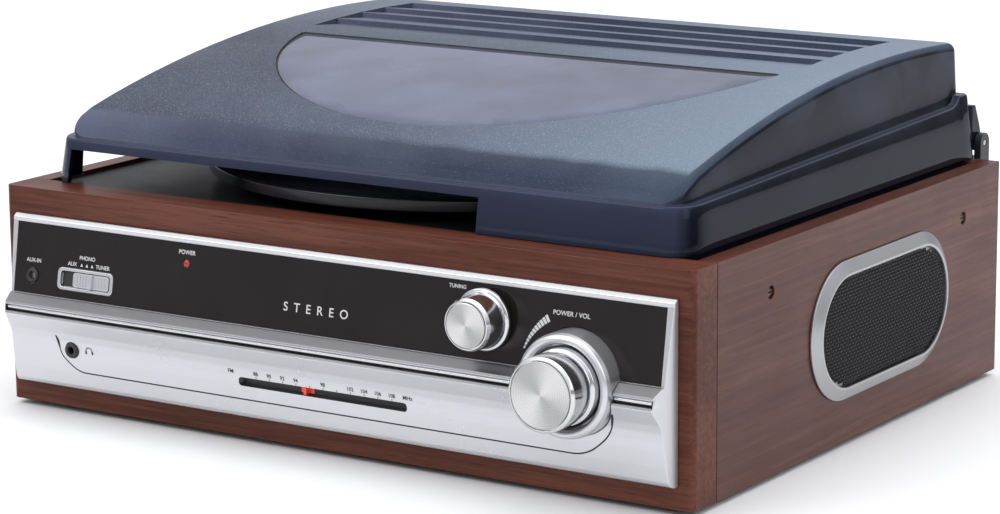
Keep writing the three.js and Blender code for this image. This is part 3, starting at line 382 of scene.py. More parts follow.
ALONG_X, ALONG_Y = 0, 1
TUNING, VOLUME = (99.5, 81.9), (150.5, 57.5)
LOOKS = {
    "wood": wood_foil("wood_front", ALONG_X, 0.14),
    "wood_side": wood_foil("wood_side", ALONG_Y, 0.24),
    "raw_wood": chipboard(),
    "silver": painted_silver("silver", (0.62, 0.62, 0.64), 0.28, 0.85),
    "bezel": painted_silver("speaker_silver", (0.42, 0.42, 0.43), 0.30, 0.92),
    "chrome": polished("chrome", (0.66, 0.66, 0.67), 0.11),
    "aluminium": polished("aluminium", (0.72, 0.72, 0.73), 0.24),
    "tuning_face": spun("spun_tuning", *TUNING),
    "volume_face": spun("spun_volume", *VOLUME),
    "panel_black": gloss_panel(),
    "black_plastic": moulded("black_plastic", (0.014, 0.014, 0.016), 0.42),
    "rubber": moulded("rubber", (0.012, 0.012, 0.013), 0.72, 500.0, 0.00008),
    "mat": moulded("mat", (0.010, 0.010, 0.012), 0.36, 700.0, 0.00003),
    "platter_black": moulded("platter_black", (0.006, 0.0065, 0.009), 0.22, 300.0, 0.00001, Coat_Weight=0.15,
                             Specular_IOR_Level=0.3),
    "deck": moulded("deck", (0.010, 0.011, 0.014), 0.34, 1500.0, 0.00003, Specular_IOR_Level=0.1),
    "steel": polished("steel", (0.48, 0.48, 0.49), 0.28),
    "brass": polished("brass", (0.62, 0.47, 0.24), 0.22),
    "screw": polished("screw_bronze", (0.16, 0.12, 0.11), 0.26),
    "grille": moulded("grille", (0.016, 0.016, 0.018), 0.30, 2000.0, 0.00001, Metallic=0.4),
    "cone": moulded("cone", (0.012, 0.012, 0.012), 0.80, 600.0, 0.0001),
    "led_red": glowing("led_red", (0.36, 0.010, 0.014), 0.08),
    # painted glow: the dial pointer is no lamp, yet it emits light
    "pointer_red": glowing("pointer_red", (0.75, 0.035, 0.02), 0.15),
    "cartridge_red": moulded("cartridge_red", (0.22, 0.018, 0.018), 0.25),
    "circuit_board": circuit_board(),
    "top": frosted_top("cover_top"),
    # the second colour of the cover's clear look is the painted shade of its sides
    "clear": smoked("cover_clear", (0.034, 0.040, 0.070), (0.0030, 0.0040, 0.0095), 0.07, 0.32, 0.09),
    "window": smoked("cover_window", (0.190, 0.215, 0.320), (0.190, 0.215, 0.320), 0.01, 0.62, 0.30),
    # painted shade: a near-black look for the groove round the cover's window
    "groove_shade": moulded("cover_groove_shade", (0.004, 0.005, 0.008), 0.45),
    "ink_light": print_ink("ink_light", (0.62, 0.62, 0.62)),
    "ink_dark": print_ink("ink_dark", (0.015, 0.015, 0.02)),
}


# ---------------------------------------------------------------- meshes
def filleted(points, steps=5, closed=False):
    """A polyline whose points (a, b, radius) are rounded; radius may be left out."""
    result = []
    count = len(points)
    for i, point in enumerate(points):
        radius = point[2] if len(point) > 2 else 0.0
        here = Vector(point[:2])
        if radius <= 0 or (not closed and i in (0, count - 1)):
            result.append(tuple(here))
            continue
        before = Vector(points[i - 1][:2]) - here
        after = Vector(points[(i + 1) % count][:2]) - here
        half = before.angle(after) / 2
        reach = min(radius / max(math.tan(half), 1e-3), 0.48 * before.length, 0.48 * after.length)
        a, b = here + before.normalized() * reach, here + after.normalized() * reach
        for k in range(steps + 1):
            t = k / steps
            p = a * (1 - t) ** 2 + here * 2 * t * (1 - t) + b * t ** 2
            result.append(tuple(p))
    return result


def inset_outline(points, distance):
    """A closed outline moved inwards by distance; points run counter-clockwise."""
    result = []
    count = len(points)
    for i in range(count):
        a, b, c = Vector(points[i - 1]), Vector(points[i]), Vector(points[(i + 1) % count])
        n1 = Vector((-(b - a).y, (b - a).x)).normalized()
        n2 = Vector((-(c - b).y, (c - b).x)).normalized()
        n = (n1 + n2).normalized()
        result.append(tuple(b + n * distance / max(n.dot(n1), 0.5)))
    return result


def settle(obj):
    """Applies obj's modifiers to its mesh."""
    depsgraph = bpy.context.evaluated_depsgraph_get()
    mesh = bpy.data.meshes.new_from_object(obj.evaluated_get(depsgraph))
    obj.modifiers.clear()
    obj.data = mesh


def raw(name, vertices, faces):
    """A mesh object from points in the cabinet's frame, with its faces turned outwards."""
    mesh = bpy.data.meshes.new(name)
    mesh.from_pydata([at(*v) for v in vertices], [], faces)
    tidy = bmesh.new()
    tidy.from_mesh(mesh)
    bmesh.ops.remove_doubles(tidy, verts=tidy.verts, dist=1e-6)
    bmesh.ops.recalc_face_normals(tidy, faces=tidy.faces)
    tidy.to_mesh(mesh)
    tidy.free()
    obj = bpy.data.objects.new(name, mesh)
    bpy.context.scene.collection.objects.link(obj)
    return obj


def carve(obj, *cutters):
    for cutter in cutters:
        modifier = obj.modifiers.new("carve", "BOOLEAN")
        modifier.operation = "DIFFERENCE"
        modifier.solver = "EXACT"
        modifier.object = cutter
    settle(obj)
    for cutter in cutters:
        bpy.data.objects.remove(cutter)
    return obj


def soften(obj, width, steps=2, angle=32):
    """Rounds every sharp edge of obj; width in mm."""
    modifier = obj.modifiers.new("soften", "BEVEL")
    modifier.width = width * MM
    modifier.segments = steps
    modifier.limit_method = "ANGLE"
    modifier.angle_limit = math.radians(angle)
    modifier.use_clamp_overlap = True
    settle(obj)
    return obj


def complete(obj, body, slot, look, nodes=(), sharp=38, weighted=True):
    """Shades obj smoothly, gives it its finish and hangs it on its CAD body."""
    mesh = obj.data
    for polygon in mesh.polygons:
        polygon.use_smooth = True
    mesh.set_sharp_from_angle(angle=math.radians(sharp))
    if weighted:
        modifier = obj.modifiers.new("normals", "WEIGHTED_NORMAL")
        modifier.keep_sharp = True
        settle(obj)
    looks = look if isinstance(look, (list, tuple)) else [look]
    kinds = [polygon.material_index for polygon in obj.data.polygons]
    obj.data.materials.clear()
    for name in looks:
        obj.data.materials.append(LOOKS[name])
    for polygon, kind in zip(obj.data.polygons, kinds):
        polygon.material_index = min(kind, len(looks) - 1)
    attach(obj, body)
    if nodes:
        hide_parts(*nodes)
    return obj


def stand_in(obj, node, look=None, **options):
    """obj stands for one CAD node, on the same body, with the look named by the node's material slot unless
    another is given.
    """
    return complete(obj, BODY_OF[node], SLOT_OF[node], look or SLOT_OF[node], [node], **options)


def paint(obj, test, index):
    """Gives faces whose middle (cabinet frame, mm) passes the test another of obj's materials."""
    for polygon in obj.data.polygons:
        middle = (polygon.center - ORIGIN) / MM
        if test(middle, polygon.normal):
            polygon.material_index = index


def turned(profile, axis, u, v, steps=96, name="turned"):
    """A lathe body: profile is (radius, height) from axis to axis, or closed when it never meets it."""
    vertices, rings = [], []
    for radius, height in profile:
        count = 1 if radius < 1e-6 else steps
        ring = []
        for i in range(count):
            angle = 2 * math.pi * i / steps
            a, b = radius * math.cos(angle), radius * math.sin(angle)
            ring.append(len(vertices))
            vertices.append({"x": (height, u + a, v + b), "y": (u + a, height, v + b),
                             "z": (u + a, v + b, height)}[axis])
        rings.append(ring)
    closed = len(rings[0]) > 1
    faces = []
    pairs = list(zip(rings, rings[1:])) + ([(rings[-1], rings[0])] if closed else [])
    for one, two in pairs:
        for i in range(steps):
            j = (i + 1) % steps
            quad = [one[i % len(one)], one[j % len(one)], two[j % len(two)], two[i % len(two)]]
            face = list(dict.fromkeys(quad))
            if len(face) > 2:
                faces.append(face)
    return raw(name, vertices, faces)


def prism(outline, axis, start, end, name="prism"):
    """A closed outline drawn out along an axis: (y, z) along x, (x, z) along y, (x, y) along z."""
    place = {"x": lambda a, b, h: (h, a, b), "y": lambda a, b, h: (a, h, b), "z": lambda a, b, h: (a, b, h)}
    count = len(outline)
    vertices = [place[axis](a, b, h) for h in (start, end) for a, b in outline]
    faces = [list(range(count)), list(range(count, 2 * count))[::-1]]
    faces += [[i, (i + 1) % count, count + (i + 1) % count, count + i] for i in range(count)]
    return raw(name, vertices, faces)


def box(x0, x1, y0, y1, z0, z1, name="box"):
    return prism([(x0, y0), (x1, y0), (x1, y1), (x0, y1)], "z", z0, z1, name)


def round_rectangle(x0, x1, y0, y1, radius, steps=6):
    return filleted([(x0, y0, radius), (x1, y0, radius), (x1, y1, radius), (x0, y1, radius)], steps, True)


def refined(node, look=None, width=0.4, steps=2, sharp=38, merge=0.5):
    """A CAD node as a finished piece: its flat faces merged and its edges rounded."""
    source = frame["nodes"][node].data
    made = bmesh.new()
    made.from_mesh(source)
    bmesh.ops.remove_doubles(made, verts=made.verts, dist=1e-6)
    bmesh.ops.dissolve_limit(made, angle_limit=math.radians(merge), verts=made.verts, edges=made.edges)
    mesh = bpy.data.meshes.new(node)
    made.verts.index_update()
    mesh.from_pydata([v.co.copy() for v in made.verts], [], [[v.index for v in f.verts] for f in made.faces])
    made.free()
    obj = bpy.data.objects.new(node + "_look", mesh)
    bpy.context.scene.collection.objects.link(obj)
    if width:
        soften(obj, width, steps)
    return stand_in(obj, node, look, sharp=sharp)


def join(name, objects):
    """One object from several, keeping the first one's place in the scene."""
    merged = bmesh.new()
    for obj in objects:
        obj.data.transform(obj.matrix_world)
        merged.from_mesh(obj.data)
        bpy.data.objects.remove(obj)
    mesh = bpy.data.meshes.new(name)
    merged.to_mesh(mesh)
    merged.free()
    result = bpy.data.objects.new(name, mesh)
    bpy.context.scene.collection.objects.link(result)
    return result


# ---------------------------------------------------------------- the sloping control panel
PANEL_TOP, PANEL_BOTTOM = (-168.6, 98.0), (-174.7, 61.8)
PANEL_TILT = math.atan2(PANEL_TOP[1] - PANEL_BOTTOM[1], PANEL_TOP[0] - PANEL_BOTTOM[0])


def on_panel(x, z, lift=0.0):
    """Row-frame matrix (metres) of a point on the panel: x right, y up the slope, z out of it."""
    share = (PANEL_TOP[1] - z) / (PANEL_TOP[1] - PANEL_BOTTOM[1])
    y = PANEL_TOP[0] + share * (PANEL_BOTTOM[0] - PANEL_TOP[0])
    turn = Matrix.Rotation(PANEL_TILT, 4, "X")
    return Matrix.Translation(at(x, y, z)) @ turn @ Matrix.Translation((0, 0, lift * MM))


def move_to_panel(obj, x, z):
    """Takes a body drawn about the origin, z outwards, to its place on the panel."""
    obj.data.transform(on_panel(x, z) @ Matrix.Translation(-ORIGIN))
    return obj


# ---------------------------------------------------------------- cabinet
SCREW_Z = 92


def add_cabinet():
    refined("front_board", "wood", 0.5, 2)
    for side in ("left", "right"):
        refined(f"{side}_side_board", "wood_side", 0.4, 2)
    refined("back_board", "wood", 0.4, 2)
    refined("base_board", "raw_wood", 0.4, 1)
    for side, sign in (("left", -1), ("right", 1)):
        for end, y in (("front", -135), ("rear", 135)):
            profile = filleted([(0, -3), (9.5, -3, 0.8), (11, -0.3, 0.5), (0, -0.3)])
            stand_in(turned(profile, "z", sign * 185, y, 64), f"foot_{end}_{side}")
        for end, y in (("front", -91), ("rear", 121)):
            dome = filleted([(0, 207.3), (3.1, 207.3), (3.1, 208.6, 0.5), (1.6, 209.3, 0.6), (0, 209.3)])
            head = turned(dome, "x", y, SCREW_Z, 48, f"side_screw_{end}_{side}")
            arms = [box(208.3, 211, y - a, y + a, SCREW_Z - b, SCREW_Z + b)
                    for a, b in ((1.9, 0.35), (0.35, 1.9))]
            carve(head, *arms)
            if sign < 0:
                head.data.transform(Matrix.Scale(-1, 4, (1, 0, 0)))
                head.data.flip_normals()
            complete(head, "cabinet", "steel", "screw")


# ---------------------------------------------------------------- speakers
SPEAKER_Y, SPEAKER_Z, SPEAKER_STRAIGHT, SPEAKER_RADIUS = 25.2, 58.2, 40.8, 35.8
SIDE = 210.0


def oval(offset, steps=40):
    points = []
    for side in (1, -1):
        for i in range(steps + 1):
            angle = -math.pi / 2 + math.pi * i / steps
            r = SPEAKER_RADIUS + offset
            points.append((SPEAKER_Y + side * (SPEAKER_STRAIGHT + r * math.cos(angle)),
                           SPEAKER_Z + side * r * math.sin(angle)))
    return points


def loop_of(rings, name):
    count = len(rings[0])
    vertices = [v for ring in rings for v in ring]
    faces = []
    for i in range(len(rings)):
        k = (i + 1) % len(rings)
        for j in range(count):
            n = (j + 1) % count
            faces.append([i * count + j, i * count + n, k * count + n, k * count + j])
    return raw(name, vertices, faces)


def inside_oval(y, z, offset):
    past = max(abs(y - SPEAKER_Y) - SPEAKER_STRAIGHT, 0.0)
    return math.hypot(past, z - SPEAKER_Z) < SPEAKER_RADIUS + offset


def woven_grille(sign, name):
    """Two sets of round wires that pass over and under each other across the oval."""
    pitch, wire, sides, lift = 1.8, 0.42, 5, 0.24
    span = SPEAKER_STRAIGHT + SPEAKER_RADIUS
    columns = int(span / pitch)
    rows = int(SPEAKER_RADIUS / pitch)
    edge = -8.4
    vertices, faces = [], []

    def face_x(y, z, weave):
        across = 1 - ((z - SPEAKER_Z) / SPEAKER_RADIUS) ** 2
        along = 1 - (max(abs(y - SPEAKER_Y) - 20.0, 0.0) / (span - 20.0)) ** 2
        return SIDE + 2.3 + 0.9 * max(across, 0) ** 0.5 * max(along, 0) ** 0.5 + weave

    def run(points, along_y):
        if len(points) < 3:
            return
        first = len(vertices)
        for x, y, z in points:
            for k in range(sides):
                angle = 2 * math.pi * k / sides
                a, b = wire * math.cos(angle), wire * math.sin(angle)
                vertices.append((sign * (x + a), y if along_y else y + b, z + b if along_y else z))
        for i in range(len(points) - 1):
            for k in range(sides):
                n = (k + 1) % sides
                base = first + i * sides
                faces.append([base + k, base + n, base + sides + n, base + sides + k])
        faces.append([first + k for k in range(sides)][::-1])
        faces.append([first + (len(points) - 1) * sides + k for k in range(sides)])

    for j in range(-rows, rows + 1):
        z = SPEAKER_Z + j * pitch
        row = [(face_x(SPEAKER_Y + i * pitch, z, lift * (-1) ** (i + j)), SPEAKER_Y + i * pitch, z)
               for i in range(-columns, columns + 1) if inside_oval(SPEAKER_Y + i * pitch, z, edge)]
        run(row, True)
    for i in range(-columns, columns + 1):
        y = SPEAKER_Y + i * pitch
        column = [(face_x(y, SPEAKER_Z + j * pitch, -lift * (-1) ** (i + j)), y, SPEAKER_Z + j * pitch)
                  for j in range(-rows, rows + 1) if inside_oval(y, SPEAKER_Z + j * pitch, edge)]
        run(column, False)
    return raw(name, vertices, faces)


def add_speakers():
    profile = filleted([(0, 0.3), (0, 1.2, 0.5), (-5.9, 4.3, 1.0), (-7.3, 4.3, 0.5), (-7.7, 1.2), (-9.6, 1.2),
                        (-9.6, -8), (-8, -8), (-8, 0.3)], 4, True)
    for side, sign in (("left", -1), ("right", 1)):
        rings = [[(sign * (SIDE + x), y, z) for y, z in oval(offset)] for offset, x in profile]
        stand_in(loop_of(rings, f"speaker_bezel_{side}_look"), f"speaker_bezel_{side}", "bezel")
        stand_in(woven_grille(sign, f"speaker_grille_{side}_look"), f"speaker_grille_{side}", "grille",
                 sharp=80, weighted=False)
        driver = refined(f"speaker_driver_{side}", ["steel", "cone"], 0, 1)
        paint(driver, lambda m, n: math.hypot(m.y - SPEAKER_Y, m.z - SPEAKER_Z) < 37 and abs(m.x) > 182, 1)


# ---------------------------------------------------------------- fascia
FASCIA_BACK = -165.3
FASCIA_OUTLINE = [
    (FASCIA_BACK, 102), (-166.6, 102, 0.6), (-168.8, 100.4, 0.9), (-168.9, 98.6, 0.2), (-174.9, 61.3),
    (-176.4, 61.2, 0.8), (-182.2, 57.6, 1.3), (-182.5, 56.1, 0.4), (-179.0, 56.1), (-179.0, 52.8),
    (-182.9, 52.7, 0.5), (-183.2, 51.2, 0.8), (-180.6, 47.4, 9), (-177.8, 43.2, 9), (-176.0, 39.0, 9),
    (-175.3, 34.6, 9), (-174.9, 30, 9), (-173.8, 22, 9), (-172.4, 14.8, 1.8), (-170.8, 12.6, 1.6),
    (-168.4, 11.6, 0.8), (FASCIA_BACK, 11.5),
]
RING_RADIUS, WELL_RADIUS = 25.7, 20.6
RING_HOLE, SHAFT_HOLE = RING_RADIUS + 0.4, 4
DIAL_LEFT, DIAL_RIGHT, DIAL_Z, DIAL_HEIGHT = -49.5, 54.2, 32.0, 4.6
PHONES = (-159.0, 34.2)
SELECTOR = (-150.2, 71.6)
AUX = (-186.2, 71.0)
LED = (-84.8, 87.8)


def fascia_half_width(y):
    return 202.0 - 4.4 * min(max((-168.0 - y) / 16.0, 0.0), 1.0)


def face_of_fascia(z):
    """Depth y and slope of the lower panel's face at height z."""
    outline = filleted(FASCIA_OUTLINE, 6)
    for (y0, z0), (y1, z1) in zip(outline, outline[1:]):
        if z1 <= z <= z0 and z0 - z1 > 1e-6 and z < 52:
            share = (z0 - z) / (z0 - z1)
            return y0 + share * (y1 - y0), math.atan2(y1 - y0, z0 - z1)
    return -175.0, 0.0


def drill(radius, start, end, centre, steps=96):
    """A cutter for a round hole along Y about centre (x, z)."""
    return turned([(0, start), (radius, start), (radius, end), (0, end)], "y", *centre, steps)


def drill_panel(radius, centre, steps):
    """A cutter for a round hole square to the control panel."""
    return move_to_panel(turned([(0, -9), (radius, -9), (radius, 5), (0, 5)], "z", 0, 0, steps), *centre)


def add_fascia():
    outline = filleted(FASCIA_OUTLINE, 6)[::-1]
    rings = []
    for depth, inset in ((0.0, 0.5), (0.15, 0.15), (0.5, 0.0)):
        ring = inset_outline(outline, -inset if inset else 0.0)
        rings.append([(-fascia_half_width(y) + depth, min(y, FASCIA_BACK), z) for y, z in ring])
    rings += [[(-x, y, z) for x, y, z in ring] for ring in rings[::-1]]
    count = len(rings[0])
    vertices = [v for ring in rings for v in ring]
    faces = [list(range(count)), list(range((len(rings) - 1) * count, len(rings) * count))[::-1]]
    for i in range(len(rings) - 1):
        for j in range(count):
            n = (j + 1) % count
            faces.append([i * count + j, i * count + n, (i + 1) * count + n, (i + 1) * count + j])
    moulding = raw("front_fascia_look", vertices, faces)
    recess = prism([(-167.0, 98.3), (-173.1, 61.5), (-190, 61.5), (-190, 98.3)], "x", -198.3, 198.3)
    dial_low, dial_high = DIAL_Z - DIAL_HEIGHT / 2, DIAL_Z + DIAL_HEIGHT / 2
    slot = prism(round_rectangle(DIAL_LEFT, DIAL_RIGHT, dial_low, dial_high, 2.2), "y", -185, -171.2)
    carve(moulding, recess, drill(RING_HOLE, -160, -195, VOLUME), slot,
          drill(4.5, -160, -190, PHONES, 48), drill(SHAFT_HOLE, -160, -190, TUNING, 48))
    soften(moulding, 0.2, 2, 50)
    stand_in(moulding, "front_fascia", ["silver", "black_plastic"], sharp=35)
    paint(moulding, lambda m, n: DIAL_LEFT - 1 < m.x < DIAL_RIGHT + 1 and m.y > -172.5
          and abs(m.z - DIAL_Z) < 2.6, 1)
    paint(moulding, lambda m, n: m.y > -180.3 and 52.6 < m.z < 56.4, 1)

    plate = prism([(-167.4, 98.0), (-173.4, 61.8), (-174.7, 61.8), (-168.6, 98.0)], "x", -198, 198)
    width, height = 37.6, 12.2
    frame_hole = move_to_panel(prism(round_rectangle(-width / 2, width / 2, -height / 2, height / 2, 3.3),
                                     "z", -5, 5), *SELECTOR)
    carve(plate, frame_hole, drill(RING_HOLE, -150, -195, VOLUME), drill(SHAFT_HOLE, -150, -190, TUNING, 48),
          drill_panel(4.2, AUX, 48), drill_panel(2.2, LED, 32))
    soften(plate, 0.25, 2, 50)
    stand_in(plate, "control_panel")

    for name, x0, x1 in (("long", -197.2, VOLUME[0]), ("short", VOLUME[0], 196.9)):
        section = filleted([(-179.5, 53.2), (-180.6, 53.2, 0.5), (-181.3, 54.0, 0.8), (-181.3, 54.9, 0.8),
                            (-180.6, 55.7, 0.5), (-179.5, 55.7)], 4)
        bar = prism(section, "x", x0, x1)
        carve(bar, drill(RING_HOLE, -160, -195, VOLUME))
        soften(bar, 0.25, 2, 60)
        stand_in(bar, f"trim_bar_{name}")

    dome = filleted([(0, -6), (1.9, -6), (1.9, 0.2, 0.3), (1.3, 0.8, 0.6), (0, 1.0)], 5)
    stand_in(move_to_panel(turned(dome, "z", 0, 0, 32), *LED), "power_led")
    sleeve = filleted([(1.8, -9), (5.2, -9), (5.2, -6.4), (3.9, -6.4), (3.9, 0.4, 0.4), (3.3, 1.0, 0.4),
                       (2.2, 0.8, 0.3), (1.8, 0.2)], 4, True)
    stand_in(move_to_panel(turned(sleeve, "z", 0, 0, 64), *AUX), "aux_jack")
    sleeve = filleted([(1.8, -160), (6, -160), (6, -171.4), (4.2, -171.4), (4.2, -176.0, 0.4),
                       (3.6, -176.8, 0.4), (2.2, -176.6, 0.3), (1.8, -175.8)], 4, True)
    stand_in(turned(sleeve, "y", *PHONES, 64), "headphone_jack")


def add_selector():
    def flat(w, h, r, z0, z1):
        return prism(round_rectangle(-w / 2, w / 2, -h / 2, h / 2, r), "z", z0, z1)

    surround = carve(flat(37, 11.6, 3.0, -3.4, 0.7), flat(33, 8.4, 2.0, -1.2, 3))
    surround = soften(move_to_panel(surround, *SELECTOR), 0.35, 3, 40)
    complete(surround, "cabinet", "silver", ["silver", "black_plastic"])
    surround.name = "switch_frame"
    level = on_panel(*SELECTOR)
    inverse = level.inverted()
    for polygon in surround.data.polygons:
        middle = inverse @ polygon.center
        if abs(middle.x) < 16.3 * MM and abs(middle.y) < 4.05 * MM and middle.z < 0.0:
            polygon.material_index = 1

    right = 16.5 - 0.4
    left = right - 24
    middle = (left + right) / 2
    pads = [prism(round_rectangle(left, right, -3.8, 3.8, 1.6), "z", -0.9, 0.9),
            prism(round_rectangle(middle - 1.5, middle + 1.5, -3.8, 3.8, 0.4), "z", -0.9, 2.1)]
    for k in range(1, 5):
        for x in (left + 1.0 + 1.9 * k, right - 1.0 - 1.9 * k):
            pads.append(prism(round_rectangle(x - 0.35, x + 0.35, -3.2, 3.2, 0.3), "z", 0.5, 1.15))
    knob = join("function_switch_knob_look", [soften(p, 0.25, 2, 50) for p in pads])
    stand_in(move_to_panel(knob, *SELECTOR), "function_switch_knob")


# ---------------------------------------------------------------- knobs
def add_knobs():
    body = filleted([(0, -148), (4.4, -148, 0.3), (4.4, -152, 0.2), (3, -152), (3, -174.4),
                     (15.4, -174.4, 0.4), (15.4, -176.4, 0.9), (13.9, -177.0, 0.4), (13.5, -178.2, 0.6),
                     (13.0, -188.4, 0.5),
                     (12.1, -190.4, 0.4), (11.5, -190.5, 0.2), (11.4, -189.6), (0, -189.6)], 5)
    stand_in(turned(body, "y", *TUNING, 128), "tuning_knob")
    cap = filleted([(0, -189.9), (11.1, -189.9), (11.1, -190.7, 0.25), (10.6, -191, 0.3), (0, -190.85)], 4)
    stand_in(turned(cap, "y", *TUNING, 128), "tuning_knob_cap", "tuning_face")

    body = filleted([(0, -152), (3, -152), (3, -177), (19.2, -177), (19.7, -184.4, 0.8), (18.6, -186.5, 1.0),
                     (17.0, -187.5, 1.2), (16.9, -190.8, 0.8), (18.2, -192.4, 0.8), (18.4, -203.4, 1.0),
                     (17.2, -204.7, 0.5), (16.7, -204.6, 0.2), (16.6, -203.7), (0, -203.7)], 6)
    stand_in(turned(body, "y", *VOLUME, 144), "volume_knob")
    cap = filleted([(0, -204), (16.3, -204), (16.3, -204.8, 0.3), (15.8, -205, 0.3), (0, -204.8)], 4)
    disc = turned(cap, "y", *VOLUME, 144)
    stand_in(disc, "volume_knob_cap", "volume_face")
    ring = filleted([(5, -172), (WELL_RADIUS, -172), (WELL_RADIUS, -168), (RING_RADIUS, -168),
                     (RING_RADIUS, -183.0, 1.2), (25.0, -185.6, 1.6), (23.4, -186.9, 1.8),
                     (21.8, -186.5, 1.0), (20.8, -185.0, 0.6), (WELL_RADIUS, -175), (5, -175)], 6, True)
    stand_in(turned(ring, "y", *VOLUME, 144), "volume_ring")


# ---------------------------------------------------------------- lettering and printed lines
def lettering(text, size, align="CENTER", spacing=1.0):
    curve = bpy.data.curves.new("lettering", "FONT")
    curve.body = text
    curve.size = size * MM
    curve.align_x = align
    curve.align_y = "CENTER"
    curve.extrude = 0.02 * MM
    curve.offset = 0.05 * MM
    curve.space_character = spacing
    obj = bpy.data.objects.new("lettering", curve)
    bpy.context.scene.collection.objects.link(obj)
    depsgraph = bpy.context.evaluated_depsgraph_get()
    mesh = bpy.data.meshes.new_from_object(obj.evaluated_get(depsgraph))
    bpy.data.objects.remove(obj)
    made = bpy.data.objects.new("lettering", mesh)
    bpy.context.scene.collection.objects.link(made)
    return made


def flat_mesh(points, thickness=0.04):
    """A thin raised print from a closed outline drawn about the origin in mm."""
    obj = prism(points, "z", 0, thickness)
    obj.data.transform(Matrix.Translation(-ORIGIN))
    return obj


def add_graphics():
    pieces = []
    for text, x, z, size, align, spacing in (
            ("POWER", -85.0, 93.4, 3.1, "CENTER", 1.0), ("TUNING", 81.0, 95.0, 2.6, "CENTER", 1.0),
            ("PHONO", -150.0, 83.2, 2.9, "CENTER", 1.0), ("AUX", -159.8, 79.6, 2.9, "CENTER", 1.0),
            ("TUNER", -139.4, 79.6, 2.9, "CENTER", 1.0), ("AUX-IN", -186.0, 78.8, 2.9, "CENTER", 1.0),
            ("POWER / VOL", 136.0, 89.0, 3.2, "LEFT", 1.05), ("STEREO", -2.0, 73.5, 6.4, "CENTER", 2.1)):
        piece = lettering(text, size, align, spacing)
        piece.data.transform(on_panel(x, z, 0.05))
        pieces.append(piece)
    for x in (-153.5, -150.0, -146.5):
        mark = flat_mesh([(-0.9, -0.8), (0.9, -0.8), (0.0, 0.9)])
        mark.data.transform(on_panel(x, 79.6, 0.05))
        pieces.append(mark)
    steps = 11
    start, end = math.radians(156), math.radians(119)
    for k in range(steps):
        a = start + (end - start) * k / steps
        b = start + (end - start) * (k + 0.78) / steps
        low, high = 31.4, 31.9 + 3.2 * (k + 1) / steps
        wedge = flat_mesh([(r * math.cos(t), r * math.sin(t))
                           for r, t in ((low, a), (low, b), (high, b), (high, a))])
        wedge.data.transform(on_panel(*VOLUME, 0.05))
        pieces.append(wedge)
    labels = join("panel_lettering", pieces)
    complete(labels, "cabinet", "silver", "ink_light", weighted=False)

    pieces = []

    def on_face(x, z, lift=0.05):
        y, slope = face_of_fascia(z)
        turn = Matrix.Rotation(math.pi / 2 + slope, 4, "X")
        return Matrix.Translation(at(x, y, z)) @ turn @ Matrix.Translation((0, 0, lift * MM))

    pitch, first, first_x = 4.185, 88, -38.2
    for number in (88, 90, 92, 94, 98, 102, 104, 106, 108):
        pieces.append((str(number), first_x + (number - first) * pitch, 37.0, 2.9))
    pieces += [("FM", -54.0, 36.8, 3.0), ("MHz", 55.0, 37.0, 3.0)]
    made = []
    for text, x, z, size in pieces:
        piece = lettering(text, size)
        piece.data.transform(on_face(x, z))
        made.append(piece)
    for number in range(88, 109, 2):
        x = first_x + (number - first) * pitch
        tick = flat_mesh([(-0.18, -0.5), (0.18, -0.5), (0.18, 0.5), (-0.18, 0.5)])
        tick.data.transform(on_face(x, 35.0))
        made.append(tick)
    arch = [(2.3 * math.cos(math.radians(a)), 2.3 * math.sin(math.radians(a))) for a in range(-20, 201, 20)]
    arch += [(1.8 * math.cos(math.radians(a)), 1.8 * math.sin(math.radians(a))) for a in range(200, -21, -20)]
    band = flat_mesh(arch)
    ears = [flat_mesh(round_rectangle(s * 2.1 - 0.55, s * 2.1 + 0.55, -2.4, 0.1, 0.5)) for s in (-1, 1)]
    for piece in (band, *ears):
        piece.data.transform(on_face(-147.4, 34.9))
        made.append(piece)
    complete(join("dial_lettering", made), "cabinet", "panel_black", "ink_dark", weighted=False)

    path = filleted([(-168.4, 41.6), (-166.5, 31, 9), (-156.1, 22.6, 16), (156.8, 22.6, 24),
                     (170.6, 34.3, 20), (174.5, 46.4)], 10)
    dense = []
    for (x0, z0), (x1, z1) in zip(path, path[1:]):
        parts = max(1, int(math.hypot(x1 - x0, z1 - z0) / 6))
        dense += [(x0 + (x1 - x0) * k / parts, z0 + (z1 - z0) * k / parts) for k in range(parts)]
    dense.append(path[-1])
    groove_line("fascia_groove", dense, 0.75)


def groove_line(name, points, radius):
    """A fine dark groove along points (x, z) of the lower panel's face."""
    curve = bpy.data.curves.new(name, "CURVE")
    curve.dimensions = "3D"
    curve.bevel_depth = radius * MM
    curve.bevel_resolution = 2
    curve.use_fill_caps = True
    spline = curve.splines.new("POLY")
    spline.points.add(len(points) - 1)
    for point, (x, z) in zip(spline.points, points):
        y, _ = face_of_fascia(z)
        point.co = (*at(x, y + radius * 0.8, z), 1)
    obj = bpy.data.objects.new(name, curve)
    bpy.context.scene.collection.objects.link(obj)
    depsgraph = bpy.context.evaluated_depsgraph_get()
    mesh = bpy.data.meshes.new_from_object(obj.evaluated_get(depsgraph))
    bpy.data.objects.remove(obj)
    made = bpy.data.objects.new(name, mesh)
    bpy.context.scene.collection.objects.link(made)
    complete(made, "cabinet", "panel_black", "ink_dark", weighted=False)


